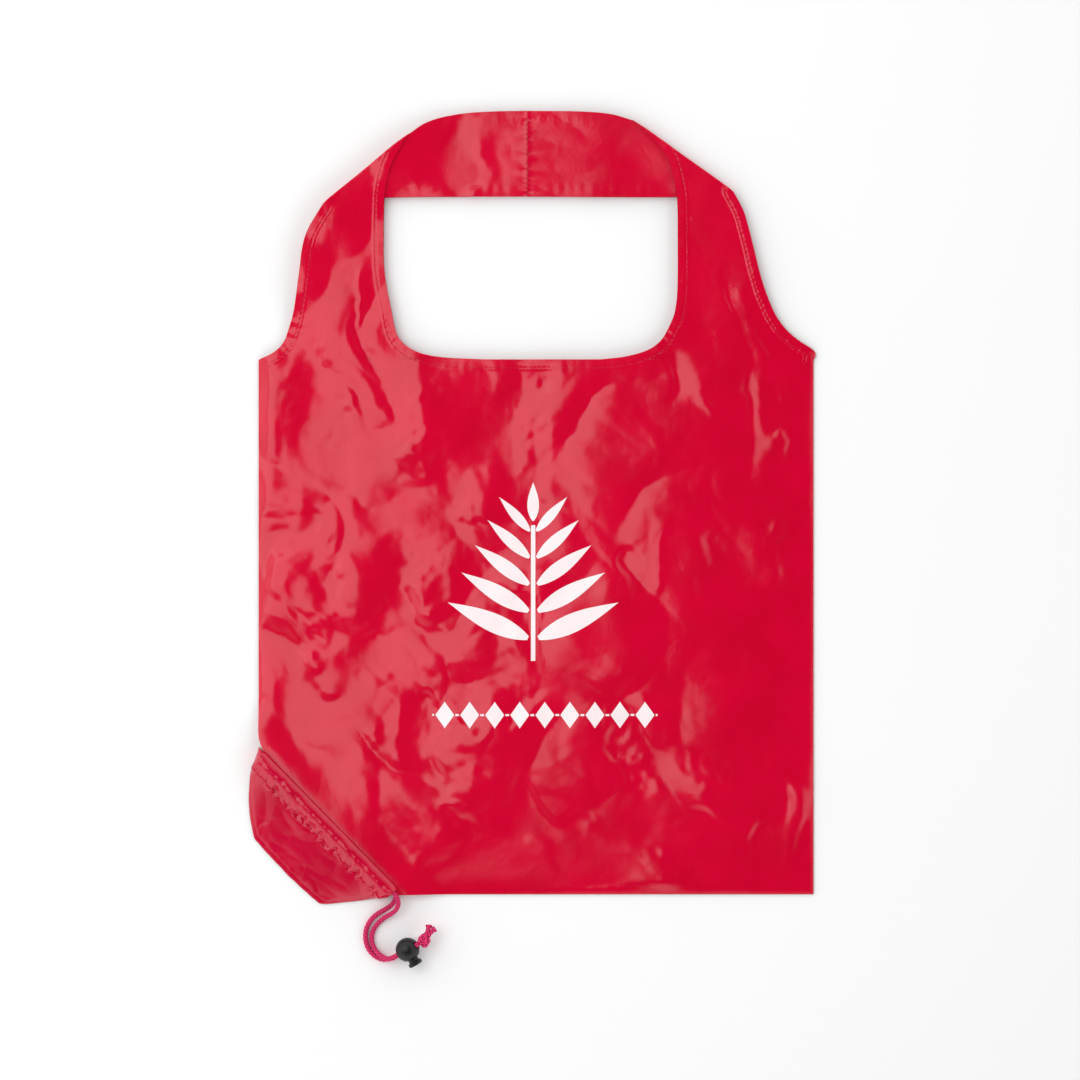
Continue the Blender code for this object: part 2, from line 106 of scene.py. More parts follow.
# Drawcord and lock, as in the solids
CORD_RADIUS = 1.6
BRAID_LAY = 5.2
STRAND_SPACING = 1.8
LOCK_CENTRE = np.array([-87.7, -37.0, 8.2])
LOCK_RADIUS = 8.2
LOCK_TURN = math.radians(30)
LOCK_TILT = math.radians(12)
LOCK_SLOT = (4.6, 7.4)
BORE_RADIUS = 4.7
BORE_DEPTH = 6.2
PISTON_RADIUS = 4.4
PISTON_BACK = 3.4
PISTON_FRONT = 6.0
PISTON_SLOT = (-1.95, 4.05)
NECK_RADIUS = 3.6
CAP_RADIUS = 4.9
CAP_SPAN = (9.4, 11.9)
SPRING_RADIUS = 3.4
SPRING_WIRE = 0.5
SPRING_TURNS = 2.5
STRAIGHT_CORD = (8.6, 12.0)
KNOT_DISTANCE = 13.6
KNOT_CORD_RADIUS = 2.0
TAIL_LENGTH = 7.4
TAIL_DIRECTION = (0.48, 0.83, -0.28)
FRONT_STRAND_ROUTE = [
    (-95.6, -0.2, 10.4),
    (-94.0, -4.6, 9.3),
    (-95.2, -9.2, 7.3),
    (-98.7, -12.7, 4.8),
    (-103.2, -15.5, 2.8),
    (-107.3, -18.8, 1.9),
    (-110.6, -22.9, 1.7),
    (-112.4, -27.8, 1.7),
    (-112.3, -33.0, 1.8),
    (-110.2, -37.7, 2.5),
    (-106.6, -41.2, 4.3),
    (-102.2, -43.3, 6.2),
]
BACK_STRAND_ROUTE = [
    (-96.5, 0.5, 2.3),
    (-96.7, -4.0, 1.9),
    (-99.6, -7.8, 1.7),
    (-104.1, -10.7, 1.7),
    (-109.2, -13.8, 1.7),
    (-113.6, -18.2, 1.7),
    (-116.2, -23.8, 1.7),
    (-116.8, -30.0, 1.7),
    (-115.4, -35.9, 1.7),
    (-112.0, -40.8, 1.7),
    (-107.1, -44.0, 1.9),
    (-102.0, -44.4, 2.7),
]

# Edges of the cloth
SEAM_LINE = [(-HALF_WIDTH, SHOULDER_Y), (-HALF_WIDTH, 0), (HALF_WIDTH, 0), (HALF_WIDTH, 370)]
LEFT_ARMHOLE = [
    (-190, 366), (-181, 370), (-175.5, 374.5), (-172, 379.5), (-169.5, 386), (-165.4, 400),
    (-161.3, 427), (-159.6, 441), (-155.6, 454.5), (-145, 472),
]
RIGHT_ARMHOLE = [
    (190, 366), (191.5, 369.5), (189, 373.2), (180, 379), (171.6, 386), (166, 393), (162, 400),
    (156.5, 413.5), (152.4, 427), (149, 441), (145.6, 454.5), (141.5, 468), (134.8, 480.7),
]
LEFT_NECK = [
    (-33.5, 366), (-62, 367.3), (-78, 370), (-87.5, 374.6), (-93.4, 380.2), (-96.4, 387),
    (-99, 400), (-101.8, 413.5), (-104, 430), (-104.3, 452), (-103.8, 475), (-101.8, 489.4),
    (-97, 502.4), (-87, 519.7),
]
RIGHT_NECK = [
    (43.7, 366), (61, 368), (76, 372.3), (85, 378.6), (89.7, 386), (93, 393), (95.2, 400),
    (96.8, 414), (97, 445), (96.6, 475), (94.3, 488.7), (90.6, 501.7), (82, 514.5), (66, 529.5),
]
BAND_TOP = {
    "left": [(-87, 519.7), (-73.8, 528.3), (-52.9, 533.8), (-28.7, 535.6), (HANDLE_SEAM_X, 536)],
    "right": [(66, 529.5), (50, 533.9), (28, 535.6), (HANDLE_SEAM_X, 536)],
}
BAND_BOTTOM = {
    "left": [(-145, 472), (-122, 475.2), (-104, 476.8), (-60, 477.4), (HANDLE_SEAM_X, 477.6)],
    "right": [(134.8, 480.7), (116, 478.6), (97, 477.2), (50, 477.2), (HANDLE_SEAM_X, 477.6)],
}

# Facets of the front that lean to the right (slope below 0) or to the left
PATCHES = [
    (-168, 322, 32, 52, 8, -0.15),
    (-46, 322, 42, 40, -6, -0.15),
    (-160, 244, 13, 30, -20, -0.14),
    (-112, 216, 28, 24, 12, -0.14),
    (-44, 196, 34, 26, -20, -0.13),
    (-128, 158, 26, 14, 16, -0.13),
    (-88, 112, 15, 30, 8, -0.15),
    (-24, 270, 24, 16, -16, -0.13),
    (-22, 58, 38, 15, -24, -0.12),
    (-56, 130, 14, 26, 30, -0.12),
    (-166, 196, 12, 18, 14, -0.12),
    (-30, 120, 24, 11, 36, -0.11),
    (-74, 508, 30, 24, 0, -0.11),
    (-30, 498, 15, 20, 10, -0.11),
    (-114, 402, 9, 26, 4, -0.14),
    (152, 326, 11, 44, 3, 0.17),
    (106, 352, 14, 17, 0, 0.13),
    (94, 84, 40, 14, -34, 0.15),
    (168, 40, 13, 32, -22, 0.17),
    (144, 230, 20, 24, 10, 0.12),
    (70, 118, 14, 12, -20, 0.10),
    (60, 20, 40, 13, -14, 0.10),
    (142, 398, 8, 30, 14, 0.09),
    (78, 226, 10, 30, -8, 0.09),
]

# Crease across the left strap
STRAP_CREASE = ((-165, 386), (-104, 462))

# Height of the straps and of the bands folded behind them
HEM_SEED = {"front": 180, "back": 380}
FOLD_GAP = 1.2
FOLD_SPREAD = {"left": 45, "right": 28}
STRAP_Z = {"front": 6.2, "back": 0.6}
BAND_Z = {"front": 4.0, "back": 2.3}

# Thickness of the print, and how far it stands above the cloth
INK = 0.05
INK_RAISED = 0.16

# Soft limits of heights, each (height, sharpness)
BACK_FLOOR = (0.32, 6)
BACK_CEILING = (1.9, 6)
FRONT_BAND_FLOOR = (3.3, 3)
BACK_BAND_CEILING = (2.9, 3)


# ---------------------------------------------------------------- helpers


def world(points):
    """Plan millimetres to metres in the frame."""
    return np.asarray(points, float) * MM + np.array([MID_X, BOTTOM_Y, 0])


def step(value, low, high):
    """0 below low and 1 above high, with a smooth rise between them."""
    t = np.clip((value - low) / (high - low), 0, 1)
    return t * t * (3 - 2 * t)


def soft_floor(value, floor, sharp):
    """The value, bent smoothly so that it stays above floor."""
    return floor + np.log1p(np.exp((value - floor) * sharp)) / sharp


def soft_ceiling(value, ceiling, sharp):
    """The value, bent smoothly so that it stays below ceiling."""
    return ceiling - np.log1p(np.exp((ceiling - value) * sharp)) / sharp


def bell(distance, reach):
    """1 at no distance, falling off smoothly over reach."""
    return np.exp(-((distance / reach) ** 2))


def smooth_route(points, per_span):
    """Points on a Catmull-Rom curve through the given points."""
    points = [np.asarray(p, float) for p in points]
    padded = [2 * points[0] - points[1], *points, 2 * points[-1] - points[-2]]
    route = []
    for a, b, c, d in zip(padded, padded[1:], padded[2:], padded[3:]):
        for k in range(per_span):
            t = k / per_span
            route.append(
                b
                + (c - a) * t / 2
                + (2 * a - 5 * b + 4 * c - d) * t**2 / 2
                + (3 * b - a - 3 * c + d) * t**3 / 2
            )
    route.append(points[-1])
    return np.array(route)


def lengths_along(route):
    return np.concatenate([[0], np.cumsum(np.linalg.norm(np.diff(route, axis=0), axis=1))])


def at_shares(route, shares):
    """Points of a route at shares of its length."""
    along = lengths_along(route)
    return np.stack(
        [np.interp(np.asarray(shares) * along[-1], along, route[:, k]) for k in range(route.shape[1])],
        axis=-1,
    )


def nearest(x, y, line):
    """Distance to a line of plan points, and how far along it the nearest point is."""
    line = np.asarray(line, float)
    along = lengths_along(line)
    best = np.full(x.shape, 1e9)
    place = np.zeros(x.shape)
    for k in range(len(line) - 1):
        (ax, ay), (bx, by) = line[k], line[k + 1]
        span = along[k + 1] - along[k]
        share = np.clip(((x - ax) * (bx - ax) + (y - ay) * (by - ay)) / span**2, 0, 1)
        distance = np.hypot(x - ax - share * (bx - ax), y - ay - share * (by - ay))
        closer = distance < best
        best = np.where(closer, distance, best)
        place = np.where(closer, along[k] + share * span, place)
    return best, place


def ripples(x, y, seed, wavelength, waves=12):
    """Smooth random waves with a mean height of 1."""
    rng = np.random.default_rng(seed)
    total = np.zeros(np.shape(x))
    for _ in range(waves):
        angle = rng.uniform(0, 2 * math.pi)
        turns = 2 * math.pi / (wavelength * rng.uniform(0.6, 1.5))
        phase = rng.uniform(0, 2 * math.pi)
        total += np.sin(turns * (x * math.cos(angle) + y * math.sin(angle)) + phase)
    return total * math.sqrt(2 / waves)


def edge_ripples(along, seed, wavelength):
    """Smooth random waves along an edge."""
    return ripples(along, 0 * along, seed, wavelength)


def creases(x, y, seed, count, area, angles, length, height, width):
    """Short sharp ridges and valleys at random places of an area (x, x, y, y)."""
    rng = np.random.default_rng(seed)
    total = np.zeros(np.shape(x))
    for _ in range(count):
        cx, cy = rng.uniform(area[0], area[1]), rng.uniform(area[2], area[3])
        angle = rng.uniform(*angles)
        half = rng.uniform(*length) / 2
        tall = rng.choice((-1, 1)) * rng.uniform(*height)
        reach = rng.uniform(*width)
        bend = rng.uniform(-0.4, 0.4) / half
        near = (np.abs(x - cx) < 2 * half + 5 * reach) & (np.abs(y - cy) < 2 * half + 5 * reach)
        if not near.any():
            continue
        dx, dy = x[near] - cx, y[near] - cy
        along = dx * math.cos(angle) + dy * math.sin(angle)
        across = dy * math.cos(angle) - dx * math.sin(angle) + bend * along**2
        total[near] += tall * np.exp(-((along / half) ** 4) - np.sqrt(across**2 + 0.1) / reach)
    return total


def link(name, mesh, *finishes):
    piece = bpy.data.objects.new(name, mesh)
    bpy.context.scene.collection.objects.link(piece)
    for finish in finishes:
        mesh.materials.append(finish)
    return piece


def declare(piece, body, slot, *nodes):
    """The piece rides on a body and replaces CAD nodes. The slot is not used."""
    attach(piece, body)
    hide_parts(*nodes)


def grid_faces(rows, columns, flip=False):
    """Quads of a grid whose points are numbered row by row."""
    i, j = np.meshgrid(np.arange(rows - 1), np.arange(columns - 1), indexing="ij")
    a = (i * columns + j).ravel()
    quads = np.stack([a, a + 1, a + 1 + columns, a + columns], axis=1)
    return quads[:, ::-1] if flip else quads


def grid_normals(grid):
    down = np.gradient(grid, axis=0)
    across = np.gradient(grid, axis=1)
    normals = np.cross(across, down)
    return normals / np.maximum(np.linalg.norm(normals, axis=2, keepdims=True), 1e-9)


def sheet_mesh(name, grids, thickness=CLOTH, flip=False):
    """Closed sheets of cloth from grids (points, normals or None) of their outer face."""
    places, faces, shading = [], [], []
    start = 0
    for points, normals in grids:
        rows, columns = points.shape[:2]
        sign = -1 if flip else 1
        facing = sign * grid_normals(points) if normals is None else normals
        outer = points.reshape(-1, 3)
        facing = facing.reshape(-1, 3)
        count = len(outer)
        quads = grid_faces(rows, columns, flip)
        rim = np.concatenate([
            np.arange(columns),
            np.arange(1, rows) * columns + columns - 1,
            np.arange(columns - 2, -1, -1) + (rows - 1) * columns,
            np.arange(rows - 2, 0, -1) * columns,
        ])
        rim_next = np.roll(rim, -1)
        sides = np.stack([rim_next, rim, rim + count, rim_next + count], axis=1)
        if flip:
            sides = sides[:, ::-1]
        places += [outer, outer - facing * thickness]
        shading += [facing, -facing]
        faces += [quads + start, quads[:, ::-1] + count + start, sides + start]
        start += 2 * count
    mesh = bpy.data.meshes.new(name)
    mesh.from_pydata(world(np.concatenate(places)).tolist(), [], np.concatenate(faces).tolist())
    mesh.shade_smooth()
    mesh.normals_split_custom_set_from_vertices(np.concatenate(shading).tolist())
    return mesh


def tube_mesh(name, routes, sides=16, relief=None):
    """Closed tubes along routes (points, radii); relief(turn, along) scales the radius."""
    shape = bmesh.new()
    uv = shape.loops.layers.uv.new("UVMap")
    for points, radii in routes:
        along = lengths_along(points)
        tangents = np.gradient(points, axis=0)
        tangents /= np.linalg.norm(tangents, axis=1, keepdims=True)
        side = Vector(tangents[0]).orthogonal().normalized()
        rings = []
        for k, (point, tangent) in enumerate(zip(points, tangents)):
            tangent = Vector(tangent)
            side = (side - tangent * side.dot(tangent)).normalized()
            up = tangent.cross(side)
            ring = []
            for j in range(sides):
                turn = 2 * math.pi * j / sides
                radius = radii[k] * (relief(turn, along[k]) if relief else 1)
                offset = side * math.cos(turn) + up * math.sin(turn)
                ring.append(shape.verts.new(world(np.array(Vector(point) + offset * radius))))
            rings.append(ring)
        placed = {}
        for k, (a, b) in enumerate(zip(rings, rings[1:])):
            for j in range(sides):
                quad = shape.faces.new((a[j], a[(j + 1) % sides], b[(j + 1) % sides], b[j]))
                placed[quad] = (j, k)
        shape.faces.new(rings[0][::-1])
        shape.faces.new(rings[-1])
        for face, (turn, lay) in placed.items():
            for loop, (right, up) in zip(face.loops, ((0, 0), (1, 0), (1, 1), (0, 1))):
                loop[uv].uv = ((turn + right) / sides, along[lay + up] / BRAID_LAY)
    mesh = bpy.data.meshes.new(name)
    shape.to_mesh(mesh)
    shape.free()
    mesh.shade_smooth()
    mesh.set_sharp_from_angle(angle=math.radians(60))
    return mesh


# ---------------------------------------------------------------- materials


def new_material(name, colour, roughness, specular=0.5, metallic=0.0):
    material = bpy.data.materials.new(name)
    material.use_nodes = True
    tree = material.node_tree
    shader = tree.nodes["Principled BSDF"]
    shader.inputs["Base Color"].default_value = (*colour, 1)
    shader.inputs["Roughness"].default_value = roughness
    shader.inputs["Specular IOR Level"].default_value = specular
    shader.inputs["Metallic"].default_value = metallic
    return material, tree, shader


def object_place(tree):
    return tree.nodes.new("ShaderNodeTexCoord").outputs["Object"]


def feed(tree, value, shader, socket):
    tree.links.new(value, shader.inputs[socket])


def node(tree, kind, **inputs):
    made = tree.nodes.new(kind)
    for name, value in inputs.items():
        made.inputs[name.replace("_", " ")].default_value = value
    return made


def mixed(tree, factor, low, high):
    """A value that runs from low to high as factor runs from 0 to 1."""
    made = node(tree, "ShaderNodeMapRange", To_Min=low, To_Max=high)
    tree.links.new(factor, made.inputs["Value"])
    return made.outputs["Result"]


def colour_mix(tree, factor, dark, light, low=0.35, high=0.65):
    ramp = tree.nodes.new("ShaderNodeValToRGB")
    ramp.color_ramp.elements[0].position = low
    ramp.color_ramp.elements[0].color = (*dark, 1)
    ramp.color_ramp.elements[1].position = high
    ramp.color_ramp.elements[1].color = (*light, 1)
    tree.links.new(factor, ramp.inputs["Fac"])
    return ramp.outputs["Color"]


def bump(tree, height, distance, strength=1.0, after=None):
    made = node(tree, "ShaderNodeBump", Strength=strength, Distance=distance)
    tree.links.new(height, made.inputs["Height"])
    if after is not None:
        tree.links.new(after, made.inputs["Normal"])
    return made.outputs["Normal"]


def calculate(tree, operation, first, second):
    """A sum of two values, each a socket, a number or None where the operation takes one."""
    made = tree.nodes.new("ShaderNodeMath")
    made.operation = operation
    for socket, value in zip(made.inputs, (first, second)):
        if isinstance(value, (int, float)):
            socket.default_value = value
        elif value is not None:
            tree.links.new(value, socket)
    return made.outputs[0]


def wave(tree, coordinates, direction, period):
    """Parallel bands of a period in metres."""
    made = node(tree, "ShaderNodeTexWave", Scale=2 * math.pi / (20 * period))
    made.bands_direction = direction
    made.wave_profile = "SIN"
    tree.links.new(coordinates, made.inputs["Vector"])
    return made.outputs["Fac"]


def noise(tree, coordinates, size, detail=3.0, roughness=0.55, distortion=0.0):
    made = node(
        tree, "ShaderNodeTexNoise", Scale=1 / size, Detail=detail, Roughness=roughness,
        Distortion=distortion,
    )
    tree.links.new(coordinates, made.inputs["Vector"])
    return made.outputs["Fac"]


def ridges(tree, coordinates, size):
    """Thin lines where the cloth was creased, from the middle level of a noise."""
    level = noise(tree, coordinates, size, detail=4, distortion=0.8)
    from_middle = calculate(tree, "SUBTRACT", level, 0.5)
    return calculate(tree, "ABSOLUTE", from_middle, None)


def polyester(name, deep, bright, roughness=0.15, crumple=0.00006):
    """Thin glossy taffeta: fine weave, small crumples and a slightly uneven gloss."""
    material, tree, shader = new_material(name, bright, roughness)
    place = object_place(tree)
    tone = noise(tree, place, 0.035, detail=4)
    tree.links.new(colour_mix(tree, tone, deep, bright), shader.inputs["Base Color"])
    gloss = noise(tree, place, 0.012, detail=5)
    tree.links.new(mixed(tree, gloss, roughness - 0.03, roughness + 0.05), shader.inputs["Roughness"])
    fold = bump(tree, ridges(tree, place, 0.022), crumple * 3, 1.0)
    fold = bump(tree, noise(tree, place, 0.009, detail=4, distortion=0.6), crumple, 1.0, fold)
    fine = bump(tree, noise(tree, place, 0.0025, detail=2), crumple * 0.12, 1.0, fold)
    warp = bump(tree, wave(tree, place, "X", 0.0005), 0.00001, 0.35, fine)
    weft = bump(tree, wave(tree, place, "Y", 0.0005), 0.00001, 0.35, warp)
    feed(tree, weft, shader, "Normal")
    return material


def braid_material():
    """Glossy cord with painted shade in its grooves and painted highlights on its crests, in chevrons that
    follow its UV map: x once round it, y one for each lay.
    """
    material, tree, shader = new_material("pink_braid", (0.66, 0.006, 0.085), 0.5, 0.3)
    place = tree.nodes.new("ShaderNodeTexCoord")
    split = tree.nodes.new("ShaderNodeSeparateXYZ")
    tree.links.new(place.outputs["UV"], split.inputs["Vector"])
    chevron_shade_and_highlight = None
    for sign in (1, -1):
        turns = calculate(tree, "MULTIPLY", split.outputs["X"], 8 * math.pi)
        lays = calculate(tree, "MULTIPLY", split.outputs["Y"], sign * 4 * math.pi)
        crossing = calculate(tree, "COSINE", calculate(tree, "ADD", turns, lays), None)
        chevron_shade_and_highlight = crossing if chevron_shade_and_highlight is None else calculate(tree, "MAXIMUM", chevron_shade_and_highlight, crossing)
    fibres = noise(tree, place.outputs["Object"], 0.0005, detail=3)
    level = calculate(tree, "ADD", calculate(tree, "MULTIPLY", chevron_shade_and_highlight, 0.42), fibres)
    # Painted light: the dark red along the braid's grooves is painted shade, and the light pink on its crests
    # is painted highlight, over the fibres' random tone.
    tree.links.new(
        colour_mix(tree, level, (0.16, 0.0005, 0.018), (0.86, 0.022, 0.165), 0.35, 0.90),
        shader.inputs["Base Color"],
    )
    fuzz = bump(tree, noise(tree, place.outputs["Object"], 0.0003, detail=2), 0.00006, 0.8)
    feed(tree, fuzz, shader, "Normal")
    return material


def ink_material():
    material, tree, shader = new_material("white_print", (0.94, 0.80, 0.81), 0.42, 0.35)
    place = object_place(tree)
    tone = noise(tree, place, 0.02, detail=4)
    tree.links.new(
        colour_mix(tree, tone, (0.93, 0.78, 0.80), (0.97, 0.84, 0.85)), shader.inputs["Base Color"]
    )
    weave = bump(tree, wave(tree, place, "X", 0.0005), 0.00001, 0.25)
    tree.links.new(
        bump(tree, wave(tree, place, "Y", 0.0005), 0.00001, 0.25, weave), shader.inputs["Normal"]
    )
    return material


def thread_material():
    material, tree, shader = new_material("red_thread", (0.50, 0.002, 0.030), 0.5)
    place = object_place(tree)
    twist = bump(tree, noise(tree, place, 0.0002, detail=1), 0.00005, 0.6)
    feed(tree, twist, shader, "Normal")
    tone = noise(tree, place, 0.003, detail=2)
    tree.links.new(
        colour_mix(tree, tone, (0.42, 0.001, 0.026), (0.60, 0.006, 0.040)), shader.inputs["Base Color"]
    )
    return material


def plastic_material():
    material, tree, shader = new_material("satin_black_plastic", (0.010, 0.010, 0.012), 0.32, 0.28)
    place = object_place(tree)
    tone = noise(tree, place, 0.004, detail=4)
    tree.links.new(
        colour_mix(tree, tone, (0.007, 0.007, 0.009), (0.013, 0.013, 0.015)),
        shader.inputs["Base Color"],
    )
    tree.links.new(
        mixed(tree, noise(tree, place, 0.0012, detail=4), 0.26, 0.40), shader.inputs["Roughness"]
    )
    grain = bump(tree, noise(tree, place, 0.0004, detail=3), 0.00003, 0.7)
    feed(tree, grain, shader, "Normal")
    return material


def steel_material():
    material, tree, shader = new_material("spring_wire", (0.55, 0.55, 0.56), 0.3, 0.5, 1.0)
    place = object_place(tree)
    tree.links.new(
        mixed(tree, noise(tree, place, 0.0006, detail=2), 0.24, 0.38), shader.inputs["Roughness"]
    )
    return material


def floor_material():
    material, tree, shader = new_material("floor_white", (0.93, 0.93, 0.93), 0.8, 0.1)
    place = object_place(tree)
    tone = noise(tree, place, 0.5, detail=2)
    tree.links.new(
        colour_mix(tree, tone, (0.925, 0.925, 0.925), (0.935, 0.935, 0.935)),
        shader.inputs["Base Color"],
    )
    return material


red_cloth = polyester("red_polyester", (0.59, 0.0002, 0.025), (0.65, 0.0003, 0.030))
pouch_cloth = polyester("pouch_polyester", (0.50, 0.0003, 0.027), (0.55, 0.0004, 0.032))
braid = braid_material()
ink = ink_material()
thread = thread_material()
plastic = plastic_material()
steel = steel_material()


# ---------------------------------------------------------------- heights of the cloth


LEFT_NECK_CURVE = smooth_route(LEFT_NECK, 5)
RIGHT_NECK_CURVE = smooth_route(RIGHT_NECK, 5)
NECK_CURVE = np.concatenate([LEFT_NECK_CURVE[::-1], RIGHT_NECK_CURVE])
ARMHOLE_CURVE = {
    "left": smooth_route(LEFT_ARMHOLE, 5),
    "right": smooth_route(RIGHT_ARMHOLE, 5),
}
TOP_CURVE = {side: smooth_route(BAND_TOP[side], 5) for side in BAND_TOP}
BOTTOM_CURVE = {side: smooth_route(BAND_BOTTOM[side], 5) for side in BAND_BOTTOM}


def into_bag(x, y):
    """Distance v from the pouch mouth's line into the bag."""
    return (x - MOUTH_START[0]) * MOUTH_INTO_BAG[0] + (y - MOUTH_START[1]) * MOUTH_INTO_BAG[1]


def panel_lift(x, y):
    """Rise of both panels where they go into the pouch, over its back channel."""
    return PANEL_LIFT * (1 - step(into_bag(x, y), *LIFT_V))


def stitch_pull(along):
    """How hard each stitch of a line draws the cloth down."""
    return 0.6 + 0.4 * np.cos(2 * math.pi * along / STITCH_PITCH)


def hem_relief(distance, along, seed):
    """Height that a doubled, stitched hem adds at a distance from the cloth's edge."""
    doubled = HEM_RISE * (1 - step(distance, HEM_WIDTH - 0.4, HEM_WIDTH + 0.6))
    from_line = distance - STITCH_INSET
    dimple = -0.30 * bell(from_line, 0.8) * stitch_pull(along)
    pucker = edge_ripples(along, seed, 7.0) * bell(from_line, 4.0)
    return doubled + dimple + 0.06 * pucker


def edge_hems(x, y, seed):
    """Relief of the hems along the neckline and both armholes, drawn up where those turn."""
    hems = 0
    turning = bell(y - 383, 10)
    for number, curve in enumerate((NECK_CURVE, ARMHOLE_CURVE["left"], ARMHOLE_CURVE["right"])):
        distance, along = nearest(x, y, curve)
        hems = hems + hem_relief(distance, along, seed + number)
        drawn_up = edge_ripples(along, seed + 10 + number, 6.5) * turning
        hems = hems + 0.13 * drawn_up * bell(distance - 3, 3.5)
    return hems


def crumple(x, y, seed):
    """Creased facets of thin cloth that was folded small and laid out again."""
    wx = x + 6 * ripples(x, y, seed + 1, 80) + 0.45 * ripples(x, y, seed + 2, 14)
    wy = y + 6 * ripples(x, y, seed + 3, 80) + 0.45 * ripples(x, y, seed + 4, 14)
    broad = 0.9 * ripples(wx, wy * 0.8, seed + 5, 170)
    facets = 0
    for number, (size, tall) in enumerate(((105, 1.6), (50, 0.30), (24, 0.07))):
        waves = ripples(wx, wy * 0.8, seed + 10 + number, size)
        facets = facets + tall * (np.sqrt(waves**2 + 0.006) - 0.8)
    return broad + facets


def tilted_patches(x, y, seed):
    """Facets that lean sideways, each (x, y, half width, half height, turn in degrees, slope)."""
    wx = x + 4.0 * ripples(x, y, seed, 42) + 0.6 * ripples(x, y, seed + 1, 12)
    wy = y + 4.0 * ripples(x, y, seed + 2, 42) + 0.6 * ripples(x, y, seed + 3, 12)
    total = np.zeros(np.shape(x))
    for cx, cy, half_width, half_height, turn, slope in PATCHES:
        cos, sin = math.cos(math.radians(turn)), math.sin(math.radians(turn))
        across = ((wx - cx) * cos + (wy - cy) * sin) / half_width
        along = ((wy - cy) * cos - (wx - cx) * sin) / half_height
        total += slope * (x - cx) * np.exp(-(across**4) - along**4)
    return total


def strap_crease(x, y):
    """Rise of the left strap above a crease from its armhole side up to its neckline side."""
    (x0, y0), (x1, y1) = STRAP_CREASE
    wx, wy = x + 2.5 * ripples(x, y, 197, 38), y + 2.5 * ripples(x, y, 198, 38)
    above = ((wy - y0) * (x1 - x0) - (wx - x0) * (y1 - y0)) / math.hypot(x1 - x0, y1 - y0)
    return 0.21 * np.log1p(np.exp(above / 1.4)) * step(y, 374, 400)


def small_creases(x, y, seed):
    whole = (-185, 185, 5, 400)
    left = (-185, 20, 40, 360)
    marks = creases(x, y, seed, 70, whole, (0, math.pi), (5, 16), (0.04, 0.09), (1.2, 2.4))
    marks += creases(x, y, seed + 1, 60, left, (0.2, 2.2), (7, 24), (0.04, 0.11), (1.2, 2.8))
    marks += creases(x, y, seed + 2, 14, whole, (0, math.pi), (40, 110), (0.10, 0.24), (3.0, 7.0))
    return marks


def front_height(x, y):
    """Height of the front panel and of the upright part of its straps."""
    rim, rim_along = nearest(x, y, SEAM_LINE)
    base = SEAM_Z + 1.5 * (1 - np.exp(-rim / 2.2)) + 3.1 * step(rim, 0, 75)
    lift = panel_lift(x, y)
    base = base + lift * (1 - 0.163 * (base - SEAM_Z))
    base = base + (STRAP_Z["front"] - 5.45) * step(y, 366, 430)
    v = into_bag(x, y)
    strength = 0.40 + 0.75 / (1 + np.exp((x - 20) / 35))
    strength = strength * step(rim, -4, 12) * (0.12 + 0.88 * step(v, 0, 34))
    strength = strength * (1 - 0.6 * step(y, 372, 415))
    patches = tilted_patches(x, y, 190) * step(rim, 0, 10) * step(v, 0, 20)
    folds = crumple(x, y, 100) + small_creases(x, y, 150)
    seam_pucker = 0.10 * edge_ripples(rim_along, 171, 9) * np.exp(-rim / 3.5)
    near_hem = bell(nearest(x, y, NECK_CURVE)[0], 12)
    z = base + (folds * strength + patches) * (1 - 0.5 * near_hem) + seam_pucker
    z = z + strap_crease(x, y) + edge_hems(x, y, HEM_SEED["front"])
    floor = 2.3 - 1.3 * np.exp(-rim / 6) + lift * 0.8
    sharp = 4 - 2.6 * step(rim, 0, 30)
    return soft_floor(z, floor, sharp)


def back_height(x, y):
    """Height of the back panel's upper face and of the upright part of its straps."""
    rim, rim_along = nearest(x, y, SEAM_LINE)
    folds = 0.35 * crumple(x, y, 300) + 0.5 * small_creases(x, y, 350)
    spread = step(rim, 0, 20) * (1 - 0.6 * step(y, 372, 415))
    z = 0.55 + 0.45 * step(rim, 3, 40) * (1 - 0.9 * step(y, 366, 400)) + folds * spread
    z = soft_ceiling(soft_floor(z, *BACK_FLOOR), *BACK_CEILING)
    return z + np.maximum(edge_hems(x, y, HEM_SEED["back"]), -0.1) + panel_lift(x, y)


HEIGHT = {"front": front_height, "back": back_height}


def height_normals(height, x, y, reach=0.5):
    slope_x = (height(x + reach, y) - height(x - reach, y)) / (2 * reach)
    slope_y = (height(x, y + reach) - height(x, y - reach)) / (2 * reach)
    normals = np.stack([-slope_x, -slope_y, np.ones_like(x)], axis=-1)
    return normals / np.linalg.norm(normals, axis=-1, keepdims=True)


# ---------------------------------------------------------------- body panels


def spaced(low, high, coarse):
    """Places from low to high, close together near both ends."""
    fine = np.array(FINE_STEPS)
    count = max(2, round((high - low - 2 * fine[-1]) / coarse))
    middle = np.linspace(low + fine[-1], high - fine[-1], count + 1)[1:-1]
    return np.concatenate([low + fine, middle, (high - fine)[::-1]])


def bottom_of_body(x):
    """Lower edge of the body: the bottom seam, or inside the pouch a line beyond its mouth."""
    hidden = 14.0
    slope = MOUTH_ALONG[1] / MOUTH_ALONG[0]
    line = MOUTH_START[1] + (x - MOUTH_START[0]) * slope - hidden / MOUTH_INTO_BAG[1]
    return np.maximum(line, 0)


def pinched(x, y):
    """Sideways pull of the left edge where the pouch gathers it."""
    return x + 5 * np.exp(-(((y - 94) / 9) ** 2) - (x + HALF_WIDTH) / 25)


